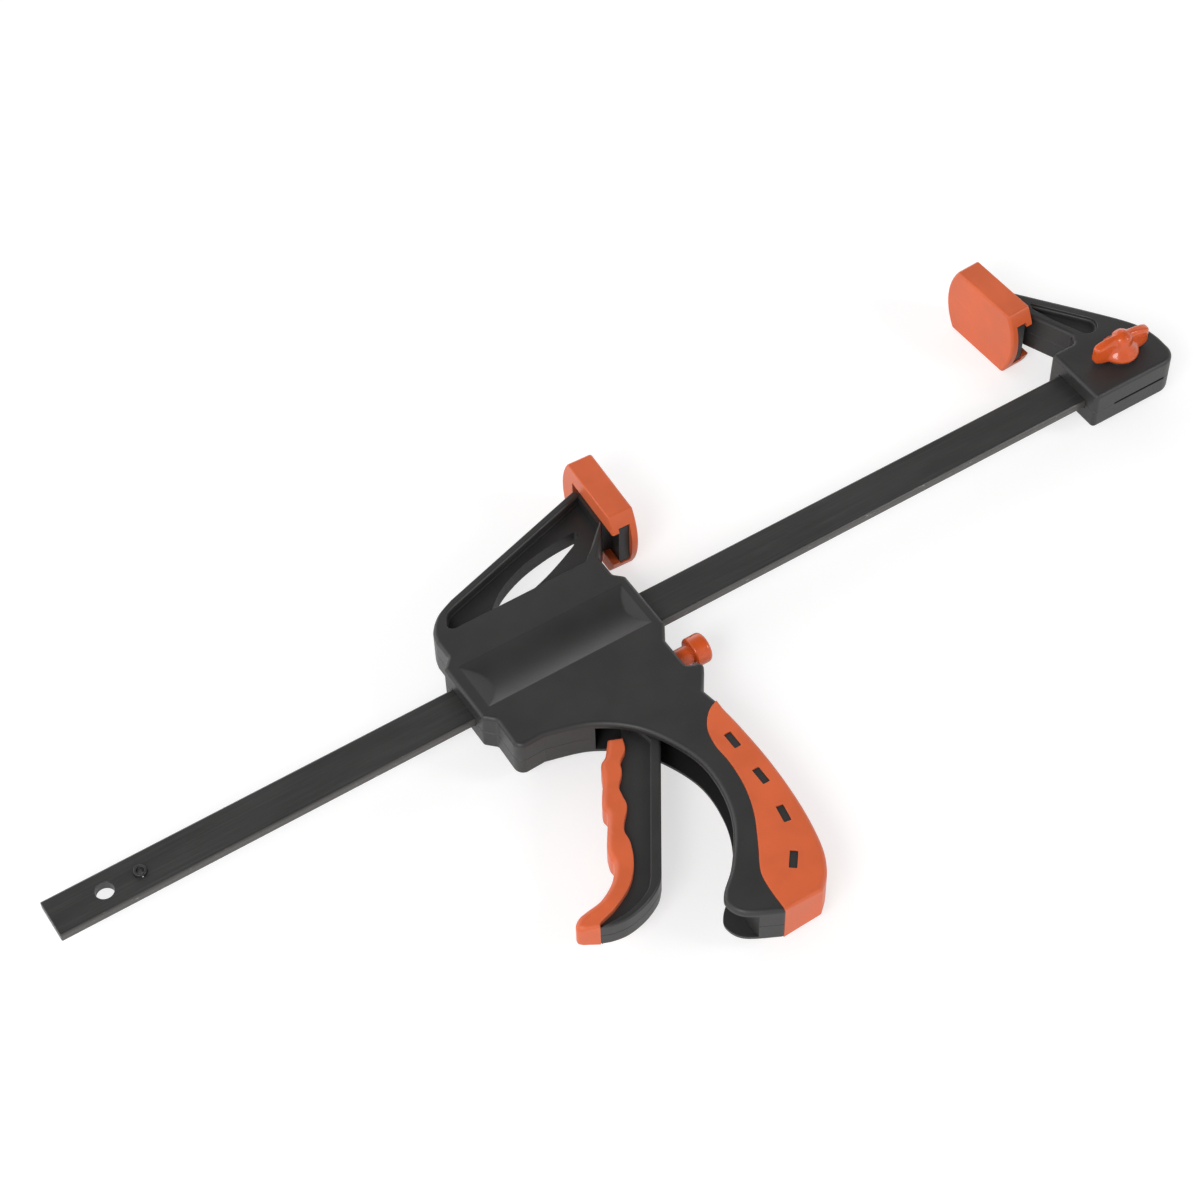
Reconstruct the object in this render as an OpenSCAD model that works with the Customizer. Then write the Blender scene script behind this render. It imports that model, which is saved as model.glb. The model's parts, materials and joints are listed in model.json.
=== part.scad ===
// Quick release bar clamp.
// Millimetres. The origin is the centre of the hanging hole, at the middle of the bar's thickness.
// X runs along the bar towards the fixed jaw, Y from the bar towards the jaws, Z out of the knob side.

/* [Bar] */
// Length of the steel bar
bar_l = 345; // [300:5:500]
// Width of the bar
bar_w = 12; // [11:0.5:13]
// Thickness of the bar
bar_t = 3; // [2.4:0.1:3.4]
// Bevel on the bar's long edges
bar_edge = 0.5; // [0.2:0.1:0.8]
// Diameter of the hanging hole
hang_d = 5; // [3:0.5:6.5]
// Distance from the bar's rear end to the hanging hole
hang_in = 15; // [8:0.5:20]
// Distance from the hanging hole to the stop pin
stop_gap = 10; // [7:0.5:20]
// Outer diameter of the hollow stop pin
stop_d = 3.5; // [2.5:0.1:4]
// Wall of the hollow stop pin
stop_wall = 0.7; // [0.4:0.1:0.9]
// How far the stop pin stands out of each face of the bar
stop_proud = 0.9; // [0.6:0.1:1.4]

/* [Sliding body] */
// Distance from the hanging hole to the body's rear face, as shown
slide_at = 104.5; // [60:0.5:200]
// Thickness of both half shells together
body_t = 13; // [12.4:0.2:15]
// Length of the rail section that the bar runs through
rail_l = 56.7; // [56:0.1:60]
// Material beside the bar, on each side of it
rail_side = 3.6; // [3:0.1:4.5]
// Depth of the concave scoop along the bar
scoop_depth = 1.9; // [0.8:0.1:2]
// Width of the scoop
scoop_w = 15.5; // [12:0.5:17]
// Depth of the recess in the arm, on each side
arm_recess = 3; // [1:0.1:3.5]
// Width of the raised bead along the arm's upper edge
arm_bead = 2; // [1.5:0.1:3]
// Thickness of the shell beside the lever and the handle's channel
side_wall = 1.9; // [1.6:0.1:2.2]
// Diameter of the screws that join the shells
case_screw_d = 2.5; // [2:0.1:3]
// Diameter of those screws' heads
case_head_d = 4.6; // [4:0.1:5]

/* [Jaws and pads] */
// Middle of the pads, above the bar's centreline
pad_y = 36.5; // [34:0.5:38]
// Straight length of a pad
pad_l = 22.4; // [20:0.2:24]
// How far a pad's ends bulge past its straight length
pad_bulge = 3.4; // [2:0.1:4]
// Height of a pad across the bar's faces
pad_h = 23; // [20:0.5:26]
// Depth of a pad from its back to its pressing face
pad_t = 7.8; // [7:0.1:9]
// Thickness of the pad's hooks behind the jaw's head
pad_hook = 2.2; // [1.6:0.1:2.6]
// Thickness of the jaw's T-shaped head
head_t = 3.2; // [2.6:0.1:3.4]
// Height of the jaw's head across the bar's faces
head_h = 15; // [14:0.5:17]
// Length of the jaw's head
head_l = 24.5; // [22:0.5:25]
// Step from the arms' faces down to the neck behind the head
neck_step = 0.5; // [0.3:0.1:2]
// Length of the pad's mouth above its middle, past the end of the arm
mouth_high = 8.7; // [6:0.1:9.5]
// Lean of each pad towards the other, in degrees
toe_in = 2.7; // [0:0.1:3]
// Distance that the bar enters the fixed jaw
jaw_cover = 23.5; // [20:0.5:25]
// Depth of the recess in the fixed jaw's arm, on each side
jaw_recess = 2.4; // [1:0.1:4]
// Height of the slit in the fixed jaw's foot
slit_h = 0.8; // [0.5:0.1:1.2]

/* [Handle and trigger] */
// Thickness of the orange grip over the handle's faces
grip_skin = 1.6; // [1:0.1:2]
// Thickness of the orange grip over the handle's outer edge
grip_wrap = 2.6; // [2:0.1:3]
// Length of a window in the grip
window_l = 5.2; // [3:0.1:6]
// Width of a window in the grip
window_w = 2.1; // [1.5:0.1:3]
// Thickness of the trigger lever
lever_t = 8.4; // [7.6:0.1:8.6]
// Width of the raised border along the lever's back edge
lever_rim = 2.6; // [2:0.1:3.5]
// Depth of the lever's web below that border, on each side
lever_sink = 0.7; // [0.4:0.1:1.2]
// Diameter of the trigger's pivot pin
pivot_d = 4; // [3:0.1:4.4]

/* [Mechanism] */
// Thickness of the drive plate and the brake plate
plate_t = 2; // [1.6:0.1:2.2]
// Width of both plates across the bar's faces
plate_w = 6.8; // [6.4:0.1:7]
// Lean of the brake plate at rest, in degrees
brake_lean = 6; // [5:0.1:6.5]
// Outer diameter of the drive spring
drive_spring_d = 5.4; // [4.6:0.1:5.6]
// Outer diameter of the brake spring
brake_spring_d = 4.6; // [4:0.1:5]
// Wire diameter of both springs
spring_wire = 0.7; // [0.5:0.1:0.8]
// Diameter of the release button's stem
stem_d = 5.6; // [5:0.1:6]
// Diameter of the release button's head
button_d = 8.6; // [8:0.1:9.6]
// Length of the release button's head
button_l = 5; // [4:0.1:6]
// Travel of the release button
button_travel = 3; // [2:0.1:3.1]

/* [Knob] */
// Distance from the bar's front end to the knob's screw
knob_in = 7.4; // [6:0.1:9]
// Diameter of the knob's screw
screw_d = 5; // [4:0.1:5.4]
// Diameter of the knob's round flange
knob_d = 12.8; // [11:0.1:14]
// Height of the knob above its washer
knob_h = 8.6; // [8:0.1:10]
// Span of the knob's two wings
wing_span = 19.5; // [18:0.5:24]
// Thickness of a wing
wing_t = 3.4; // [2.4:0.1:4]
// Height of the wings' upper edge above the washer
wing_h = 7.3; // [6:0.1:7.6]
// Direction of the wings at rest, in degrees from the bar
wing_turn = -8; // [-40:1:40]
// Width of the captive nut across its flats
nut_af = 8; // [7:0.1:9]
// Thickness of the captive nut
nut_t = 3.2; // [2.6:0.1:3.6]

/* [Hidden] */
$fn = 64;

plastic = "#37373a";
orange = "#d9622e";
steel = "#8d8f92";
dark_steel = "#3c3c3d";

fit = 0.15;      // gap between sliding faces
turn_fit = 0.05; // gap round a turning pin
seat = 0.1;      // gap between assembled pieces
cut = 0.5;       // how far a cutter runs past the face that it opens

half_t = body_t / 2;
front_end = bar_l - hang_in;
jaw_at = front_end - jaw_cover;
knob_x = front_end - knob_in;
rail_y = bar_w / 2 + rail_side;
bay_z = half_t - side_wall;          // half height of the lever bay and the channel
plate_z = plate_w / 2 + 0.2;         // half height of the plates' bay

// Points on an arc from angle a to angle b
function arc(c, r, a, b, n = 8) =
    [for (i = [0:n]) let (t = a + (b - a) * i / n) c + r * [cos(t), sin(t)]];
// Points on a smooth curve through the points of p
function bend(p0, p1, p2, p3, t) =
    0.5 * (2 * p1 + (p2 - p0) * t + (2 * p0 - 5 * p1 + 4 * p2 - p3) * t * t
    + (3 * p1 - p0 - 3 * p2 + p3) * t * t * t);
function smooth(p, n = 4) = let (m = len(p) - 1) [for (i = [0:m - 1]) for (k = [0:n - 1])
    bend(p[max(i - 1, 0)], p[i], p[i + 1], p[min(i + 2, m)], k / n), p[m]];

module slab(h) { linear_extrude(height = h, center = true) children(); }

// ---------- bar ----------
module bar_section(w, t, e) {
    polygon([[-w / 2 + e, -t / 2], [w / 2 - e, -t / 2], [w / 2, -t / 2 + e], [w / 2, t / 2 - e],
        [w / 2 - e, t / 2], [-w / 2 + e, t / 2], [-w / 2, t / 2 - e], [-w / 2, -t / 2 + e]]);
}

module bar() color(dark_steel) difference() {
    translate([-hang_in, 0, 0]) rotate([90, 0, 90])
        linear_extrude(height = bar_l) bar_section(bar_w, bar_t, bar_edge);
    cylinder(d = hang_d, h = bar_t + 2 * cut, center = true);
    translate([stop_gap, 0, 0]) cylinder(d = stop_d, h = bar_t + 2 * cut, center = true);
    translate([knob_x, 0, 0]) cylinder(d = screw_d + 0.6, h = bar_t + 2 * cut, center = true);
}

module stop_pin() color(dark_steel) translate([stop_gap, 0, 0]) difference() {
    cylinder(d = stop_d, h = bar_t + 2 * stop_proud, center = true);
    cylinder(d = stop_d - 2 * stop_wall, h = bar_t + 2 * stop_proud + 2 * cut, center = true);
    // the slot down one side of a rolled pin
    translate([0, -stop_d / 2, 0]) cube([0.4, stop_d, bar_t + 4 * stop_proud], center = true);
}

// ---------- pads and the heads that carry them ----------
// A pad's outline seen from the workpiece: two straight sides and two bulging ends
module pad_outline(l, h, bulge) {
    r = (h * h / 4 + bulge * bulge) / (2 * bulge);
    intersection() {
        square([l + 2 * bulge, h], center = true);
        translate([-(l / 2 + bulge - r), 0]) circle(r, $fn = 128);
        translate([l / 2 + bulge - r, 0]) circle(r, $fn = 128);
    }
}
// Stands an outline across the pressing direction: its width runs along Y, its depth along X
module across(from, depth) {
    translate([from, 0, 0]) rotate([90, 0, 90]) linear_extrude(height = depth) children();
}
// Puts a pad's frame on the sliding body's arm, or mirrored on the fixed jaw's
module at_moving_pad() { translate([moving_back, pad_y, 0]) rotate([0, 0, -toe_in]) children(); }
module at_fixed_pad() {
    translate([fixed_back, pad_y, 0]) rotate([0, 0, toe_in]) mirror([1, 0, 0]) children();
}
moving_back = slide_at + 61.8;
neck_root = 3; // how far the neck reaches back into the arm
fixed_back = jaw_at + 2.4;

head_low = pad_l / 2 + 1.8; // how far the head reaches below the pad's middle, to its open end
neck_low = head_low - 4.5;  // the same for the neck behind the head
neck_h = body_t - 2 * neck_step;
// A stretch of a height along Y, from the first place to the second
module stretch(from, to, height) translate([from, -height / 2]) square([to - from, height]);
module pad() color(orange) difference() {
    across(0, pad_t) pad_outline(pad_l, pad_h, pad_bulge);
    // the groove for the jaw's head, open towards the bar and closed at its other end
    across(pad_hook, head_t + 2 * seat) stretch(-pad_l, head_l - head_low + seat, head_h + 2 * seat);
    // the mouth between the two hooks
    across(-cut, pad_hook + 2 * cut) stretch(-pad_l, mouth_high, neck_h + 4 * seat);
}
// neck_high is how far the neck reaches above the pad's middle
module jaw_head(neck_high) {
    across(pad_hook + seat, head_t) intersection() {
        stretch(-head_low, head_l - head_low, head_h);
        pad_outline(pad_l - 1, pad_h, pad_bulge);
    }
    across(-neck_root, neck_root + pad_hook + seat + cut) stretch(-neck_low, neck_high, neck_h);
}
module moving_jaw_pad() at_moving_pad() pad();
module fixed_jaw_pad() at_fixed_pad() pad();

// ---------- fixed jaw ----------
foot_y = bar_w / 2 + 4.3;
jaw_r = 29.7;
function jaw_outline() = concat(
    arc([1, -foot_y + 1], 1, 180, 270, 4),
    arc([jaw_r - 5, -foot_y + 5], 5, 270, 360),
    smooth([[jaw_r, -4.6], [jaw_r, -0.5], [28.6, 4.6], [25.4, 10.4]]),
    [[18.4, 20], [3.1, 40], [2.5, 39.2], [3.6, 26.4], [9.3, 13]],
    arc([7, foot_y + 1.6], 1.6, 0, -90, 4),
    arc([1, foot_y - 1], 1, 90, 180, 4));
function jaw_pocket() = concat(
    [[8.6, 27.6]], arc([15.3, 13.8], 3.1, 40, -150, 8), [[10.2, 20.4]]);

module fixed_jaw() color(plastic) {
    difference() {
        union() {
            translate([jaw_at, 0, 0]) slab(body_t) polygon(jaw_outline());
            at_fixed_pad() jaw_head(3);
        }
        // slot for the bar, with its end stop
        translate([jaw_at - cut, -bar_w / 2 - seat, -bar_t / 2 - seat])
            cube([jaw_cover + cut + seat, bar_w + 2 * seat, bar_t + 2 * seat]);
        // slit that lets the foot close on the bar
        translate([jaw_at + 7.2, -foot_y - cut, -slit_h / 2])
            cube([18, foot_y - bar_w / 2 + cut, slit_h]);
        // hollows in the arm
        for (side = [-1, 1]) translate([jaw_at, 0, side * half_t])
            slab(2 * jaw_recess) polygon(jaw_pocket());
        // screw hole and the nut's pocket
        translate([knob_x, 0, 0]) cylinder(d = screw_d + 0.6, h = body_t + 2 * cut, center = true);
        translate([knob_x, 0, -half_t - cut])
            cylinder(d = (nut_af + 2 * seat) / cos(30), h = nut_t + cut + seat, $fn = 6);
    }
}

module captive_nut() color(steel) translate([knob_x, 0, -half_t]) difference() {
    cylinder(d = nut_af / cos(30), h = nut_t, $fn = 6);
    translate([0, 0, -cut]) cylinder(d = screw_d + 2 * turn_fit, h = nut_t + 2 * cut);
}
washer_t = 0.8;
module knob_washer() color(steel) translate([knob_x, 0, half_t]) difference() {
    cylinder(d = knob_d - 1.2, h = washer_t);
    translate([0, 0, -cut]) cylinder(d = screw_d + 0.4, h = washer_t + 2 * cut);
}
knob_z = half_t + washer_t + turn_fit;
module knob_screw() color(steel) translate([knob_x, 0, -half_t + 0.4])
    cylinder(d = screw_d, h = knob_z + half_t - 0.4 + knob_h / 2);

module wing_knob() color(orange) translate([knob_x, 0, knob_z]) difference() {
    union() {
        // bell: flange, waist and domed top
        rotate_extrude() polygon(concat([[0, 0], [knob_d / 2 - 0.5, 0], [knob_d / 2, 0.5],
            [knob_d / 2, 1.2], [knob_d / 2 - 0.7, 2], [knob_d / 2 - 1.5, 3.4],
            [knob_d / 2 - 2.2, 5.4]], arc([0, knob_h - 4.2], 4.2, 10, 90, 8)));
        rotate([0, 0, wing_turn]) for (side = [0, 180]) rotate([0, 0, side])
            rotate([90, 0, 0]) slab(wing_t)
            polygon(smooth([[0, 1], [knob_d / 2, 0.9], [wing_span / 2 - 0.8, 1.1],
                [wing_span / 2, 2], [wing_span / 2, wing_h - 1.4], [wing_span / 2 - 1.2, wing_h - 0.2],
                [wing_span / 4, wing_h - 0.1], [2, wing_h], [0, wing_h]]));
    }
    translate([0, 0, -cut]) cylinder(d = screw_d, h = knob_h / 2 + cut);
}

// ---------- sliding body ----------
// From here on the outlines are measured from the body's rear face and the bar's centreline.
pivot = [38.5, -22];        // trigger pivot
boss_r = 5;                 // radius of the lever round its pivot
bay_top = pivot[1] + boss_r + 0.4; // ceiling of the lever's bay
fulcrum = [46.6, 9];        // edge that the brake plate leans on
button_y = -18;             // axis of the release button
spring_y = -bar_w / 2 - 4.3; // axis of both springs
drive_at = 31.5;            // middle of the drive plate at rest
drive_seat = 13;            // wall behind the drive spring
brake_seat = 39.8;          // wall behind the brake spring
button_wall = [51.7, 53.7]; // inside and outside of the wall that the button passes
slot_start = 23.3;          // where the gap for the lever opens in the body's underside
handle_end = -100.4;        // lower end of the handle

function arm_top(drop = 0) = [[61.5, 42.6 - drop], [13, 28.1 - drop]];
function handle_front() = smooth([[10.5, -23.1], [21.8, -26.7], [30.6, -33.2], [36.2, -41.8],
    [39.6, -52.5], [38.9, -63.5], [35.4, -73], [28.6, -82.2], [22.7, -87.6], [21.2, -91.2],
    [23.6, -95.8], [31.8, handle_end]]);
function handle_back() = smooth([[43.6, handle_end], [47.6, -96.4], [51, -89.4], [53.6, -77],
    [54.8, -62], [54.6, -48], [53.8, -38.3]]);
function grip_edge() = smooth([[53.8, -38.3], [50.2, -40.1], [46.9, -44.2], [45.5, -49.8],
    [45.6, -56.5], [44.6, -64.5], [42, -72.5], [37.3, -81.2], [33.6, -87.6], [32.5, -93],
    [32.2, handle_end]]);
function body_outline() = concat(arm_top(),
    smooth([[13, 28.1], [7.6, 25.5], [4, 22], [2.8, 18.4]]),
    [[2.8, rail_y + 2.8], [0, rail_y], [0, -rail_y], [2.8, -rail_y - 2.8]],
    arc([5.4, -20.5], 2.8, 180, 262), handle_front(), handle_back(),
    [[52.9, -33.6], [56.4, -28.8]], arc([56, -26.6], 1.5, -40, 100, 6),
    [[button_wall[1], -24.2], [button_wall[1], -rail_y - 4.8], [rail_l, -rail_y],
    [rail_l, rail_y], [54.2, rail_y + 2.4], [54.2, 18.6], [61.1, 28.1]]);
function arm_pocket() = concat(
    arc([9.6, 21], 1.7, 180, 270, 5), [[50.3, 19.3], [54.6, 23.4], [58.6, 28.4],
    [60.4, 42.26 - 1.04 * arm_bead], [13, 28.1 - 1.04 * arm_bead]],
    smooth([[13, 28.1 - 1.04 * arm_bead], [10, 24.4], [7.9, 21]]));
function arm_window() = concat(
    smooth([[20.4, 19.9], [23.5, 23.3], [28.5, 26.9], [36.5, 30.2], [45.8, 32.1], [54, 32.6]]),
    arc([54.4, 31.7], 0.9, 90, -40, 4),
    smooth([[52, 28.6], [46, 25.8], [38.9, 23], [31.9, 21.1], [24, 20.1], [20.4, 19.9]]));
function channel_floor() = smooth([[45.6, -30], [45.6, -42], [46.7, -52], [46, -63],
    [42.6, -73.5], [35.8, -82.5], [28.9, -88.6], [26.4, -92.5], [26.9, handle_end - 2]]);
// Centres and turns of the grip's windows
windows = [[50.2, -51, 0], [50, -64.1, 0], [48.2, -76.7, -10], [42.4, -89.3, -38]];
case_screws = [[9, 14.6], [48, 14.6], [9, -17.4], [49.6, -32], [29.5, -95.4]];

module in_body() translate([slide_at, 0, 0]) children();
module grip_area() polygon(concat(handle_back(), grip_edge()));
// the part of the grip's area that the shells still fill
module grip_core() intersection() {
    grip_area();
    translate([-grip_wrap, 0.55 * grip_wrap]) grip_area();
}
module window_area(gap) for (w = windows) translate([w[0], w[1]]) rotate(w[2])
    square([window_w + 2 * gap, window_l + 2 * gap], center = true);

module scoop() {
    r = (scoop_w * scoop_w / 4 + scoop_depth * scoop_depth) / (2 * scoop_depth);
    slope_rear = 5.4;
    slope_front = 3.4;
    intersection() {
        translate([0, 0, half_t - scoop_depth + r]) rotate([0, 90, 0])
            cylinder(r = r, h = rail_l, $fn = 180);
        rotate([90, 0, 0]) slab(scoop_w + 4) polygon([[3.2, half_t + cut],
            [3.2, half_t], [3.2 + slope_rear, half_t - scoop_depth],
            [rail_l - 2.5 - slope_front, half_t - scoop_depth], [rail_l - 2.5, half_t],
            [rail_l - 2.5, half_t + cut]]);
    }
}
// The hollows that hold the bar, the plates, the springs, the lever and the button
module works_space() {
    bar_y = bar_w / 2 + fit;
    translate([-cut, -bar_y, -bar_t / 2 - fit]) cube([rail_l + 2 * cut, 2 * bar_y, bar_t + 2 * fit]);
    slab(2 * plate_z) {
        // drive plate, its spring and the lever's nose
        translate([drive_seat, -bar_w / 2 - 8.6]) square([21.4, bar_w + 12]);
        translate([30, pivot[1]]) square([8.6, 14.2]);
        // brake plate with the ledge of its fulcrum, and its spring
        translate([brake_seat, pivot[1]])
            square([button_wall[0] - brake_seat, fulcrum[1] - 0.6 - pivot[1]]);
        translate([fulcrum[0] - 5, 0]) square([5.1, fulcrum[1] + 0.7]);
    }
    // lever and handle channel
    slab(2 * bay_z) polygon(concat([[slot_start, -60], [slot_start, -25.4], [31, bay_top],
        [45.6, bay_top]], channel_floor(), [[-10, handle_end - 2], [-10, -60]]));
    translate([button_wall[0] - cut, button_y, 0]) rotate([0, 90, 0])
        cylinder(d = stem_d + 2 * fit, h = 2 + 2 * cut);
    translate([pivot[0], pivot[1], 0]) cylinder(d = pivot_d + 0.04, h = 2 * half_t - 1.4, center = true);
}
// Everything that both half shells share, before they are parted
module body_block() difference() {
    union() {
        difference() {
            slab(body_t) polygon(body_outline());
            // the seat of the grip
            slab(body_t + 2 * cut) difference() { grip_area(); grip_core(); }
            for (side = [-1, 1]) translate([0, 0, side * half_t])
                slab(2 * grip_skin) grip_area();
        }
        slab(body_t - 0.8) window_area(-seat);
        translate([-slide_at, 0, 0]) at_moving_pad() jaw_head(5);
    }
    for (side = [0, 1]) mirror([0, 0, side]) {
        scoop();
        translate([0, 0, half_t]) slab(2 * arm_recess) polygon(arm_pocket());
    }
    slab(body_t + 2 * cut) polygon(arm_window());
    works_space();
}
room = 400; // side of a block larger than the body
module half_space(side) translate([-room / 2, -room / 2, side > 0 ? 0 : -room / 2])
    cube([room, room, room / 2]);

module housing_front() color(plastic) in_body() difference() {
    intersection() { body_block(); half_space(1); }
    for (s = case_screws) translate([s[0], s[1], -cut]) cylinder(d = case_screw_d + 0.04, h = 5);
}
module housing_back() color(plastic) in_body() difference() {
    intersection() { body_block(); half_space(-1); }
    for (s = case_screws) translate([s[0], s[1], -half_t - cut]) {
        cylinder(d = case_screw_d + 0.3, h = half_t + 2 * cut);
        cylinder(d = case_head_d + 0.3, h = 2.4 + cut);
    }
}
module housing_screws() color(steel) in_body() for (s = case_screws) translate([s[0], s[1], 0])
    difference() {
        union() {
            translate([0, 0, -half_t + 2.4]) cylinder(d = case_screw_d, h = half_t + 1.8);
            translate([0, 0, -half_t + 0.8]) cylinder(d = case_head_d, h = 1.6);
        }
        // cross recess
        for (a = [0, 90]) rotate(a) translate([0, 0, -half_t + 0.8]) cube([2.6, 0.6, 1.6], center = true);
    }

module handle_grip() color(orange) in_body() difference() {
    slab(body_t) grip_area();
    slab(body_t - 2 * grip_skin) grip_core();
    slab(body_t + 2 * cut) window_area(0);
}

// ---------- trigger ----------
toe_tip = [-8.9, -79.4]; // where the lever, its finger grip and the toe's curve meet
// Boundary between the lever and its finger grip, in three waves, from top to toe
function finger_line() = smooth([[27.8, -33.6], [26.4, -37], [23.3, -39.6], [21.8, -42.6],
    [18.9, -45.8], [18.1, -48.6], [17.3, -52], [14, -55.8], [12.6, -58.2], [12.1, -61.6],
    [9.6, -67], [5.2, -72], [-1.2, -75.5], [-5.8, -77], [-8.1, -78.2], toe_tip]);
function finger_front() = smooth([[24.4, -31.7], [21.2, -35.6], [18.9, -37.2], [16.6, -41.6],
    [13.8, -45.6], [12.1, -48.6], [11.9, -51.2], [8.9, -55.7], [6.6, -59.2], [5.5, -62.2],
    [5.2, -64.6], [2, -68.6], [-3, -71.5], [-8, -72.5], [-10.8, -72.9], [-13.2, -74.5],
    [-13.8, -76.2], [-12.8, -77.3]]);
function reversed(p) = [for (i = [len(p) - 1:-1:0]) p[i]];
// The back edge's straight stretch, then its curve down to the toe
heel = [[35.6, -39.7], [13.4, -73.8]];
function toe_curve() = smooth([heel[1], [10.6, -76.6], [5.6, -79], [0, -80.1], [-5, -80], toe_tip]);
function lever_outline() = let (back = reversed(toe_curve()), front = finger_line())
    concat(arc(pivot, boss_r, -15, 190, 16), front, [for (i = [1:len(back) - 1]) back[i]], [heel[0]]);
// The web inside the raised border, as a cutter that runs out past the finger line
function lever_web() = let (in = lever_rim * [-0.84, 0.55])
    [[31.6, -29.4], heel[0] + in, heel[1] + in, [8.6, -75.4], [4.6, -77.4], [0, -78.5], [-8, -78.5],
    [-12, -74], [-2, -66], [18, -38], [24, -31]];

module trigger_lever() color(plastic) in_body() difference() {
    union() {
        difference() {
            slab(lever_t) polygon(lever_outline());
            for (side = [-1, 1]) translate([0, 0, side * lever_t / 2])
                slab(2 * lever_sink) polygon(lever_web());
        }
        // nose that pushes the drive plate
        slab(plate_w - 0.4) polygon(concat([[38.2, pivot[1] + 3], [37.3, -11.4]],
            arc([35, -10.5], 2.4, -20, 180, 12), [[34, pivot[1] + 1]]));
    }
    translate([pivot[0], pivot[1], 0]) cylinder(d = pivot_d + 2 * turn_fit, h = lever_t + 2 * cut, center = true);
}
module trigger_grip() color(orange) in_body()
    slab(lever_t + 0.2) polygon(concat(finger_front(), reversed(finger_line())));
module trigger_pin() color(steel) in_body() translate([pivot[0], pivot[1], 0])
    cylinder(d = pivot_d, h = 2 * half_t - 1.6, center = true);

// ---------- mechanism ----------
plate_hole_y = bar_w + 0.5; // height of the hole that lets a plate lean on the bar
module plate(low, high, hole) slab_x(plate_t) difference() {
    translate([low, -plate_w / 2]) square([high - low, plate_w]);
    square([hole, bar_t + 0.4], center = true);
}
module slab_x(t) translate([-t / 2, 0, 0]) rotate([90, 0, 90]) linear_extrude(height = t) children();

module drive_plate() color(steel) in_body() translate([drive_at, 0, 0])
    plate(-bar_w / 2 - 8, bar_w / 2 + 3, bar_w + 2 * fit);
module brake_plate() color(steel) in_body() translate([fulcrum[0], fulcrum[1], 0])
    rotate([0, 0, brake_lean]) translate([-plate_t / 2, -fulcrum[1], 0])
    plate(-21, fulcrum[1] + 0.4, plate_hole_y);

// A coil spring along X from its seat: one unbroken round wire, as rings of a tube
module coil(d, wire, length, turns) {
    sides = 6;
    per_turn = 12;
    rings = turns * per_turn;
    mid = (d - wire) / 2;
    function at(i) = [wire / 2 + (length - wire) * i / rings, mid * cos(360 * i / per_turn),
        mid * sin(360 * i / per_turn)];
    function ring(i) = let (c = at(i), t = 360 * i / per_turn)
        [for (k = [0:sides - 1]) let (a = 360 * k / sides) c + wire / 2 * [cos(a),
            sin(a) * cos(t), sin(a) * sin(t)]];
    polyhedron(points = [for (i = [0:rings]) each ring(i)],
        faces = concat([[for (k = [0:sides - 1]) k]],
        [for (i = [0:rings - 1]) for (k = [0:sides - 1]) let (a = i * sides + k,
            b = i * sides + (k + 1) % sides) each [[a, a + sides, b], [b, a + sides, b + sides]]],
        [[for (k = [sides - 1:-1:0]) rings * sides + k]]));
}
module drive_spring() color(steel) in_body() translate([drive_seat, spring_y, 0])
    coil(drive_spring_d, spring_wire, drive_at - plate_t / 2 - drive_seat, 8);
brake_face = fulcrum[0] - plate_t / cos(brake_lean) + (fulcrum[1] - spring_y - brake_spring_d / 2)
    * tan(brake_lean);
module brake_spring() color(steel) in_body() translate([brake_seat, spring_y, 0])
    coil(brake_spring_d, spring_wire, brake_face - brake_seat, 4);

module release_button() color(orange) in_body() translate([0, button_y, 0]) rotate([0, 90, 0])
    rotate_extrude() polygon(concat(
        [[0, button_tip], [stem_d / 2 - 0.6, button_tip + 0.3], [stem_d / 2, button_tip + 0.9],
        [stem_d / 2 + 0.5, button_tip + 0.9], [stem_d / 2 + 0.5, button_wall[0] - seat],
        [stem_d / 2, button_wall[0] - seat], [stem_d / 2, button_head]],
        arc([button_d / 2 - 0.6, button_head + 0.6], 0.6, -90, 0, 4),
        arc([button_d / 2 - 1.2, button_head + button_l - 1.2], 1.2, 0, 90, 6),
        [[0, button_head + button_l + 0.3]]));
button_tip = fulcrum[0] + (fulcrum[1] - button_y) * tan(brake_lean) + seat;
button_head = button_wall[1] + button_travel + 2.3;

bar();
stop_pin();
fixed_jaw();
fixed_jaw_pad();
wing_knob();
knob_screw();
knob_washer();
captive_nut();
housing_front();
housing_back();
housing_screws();
handle_grip();
moving_jaw_pad();
trigger_lever();
trigger_grip();
trigger_pin();
drive_plate();
drive_spring();
brake_plate();
brake_spring();
release_button();
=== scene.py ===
# %% [markdown]
# # A one-handed bar clamp, dressed for its portrait
# The clamp is a flat steel bar with a fixed jaw at one end and a sliding body that a trigger
# drives along it. Its working model, with every size and joint, is loaded first as a fixed frame.
# This lesson then gives each moulded or machined piece its real surface: soft edges, parting
# lines, hollows and a finish. Nearly every piece is an outline carried up a rounded wall, and
# numpy works out each grid.

# %% Load the working model
import json
import bmesh
import bpy
import numpy as np
from mathutils import Matrix, Vector


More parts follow.
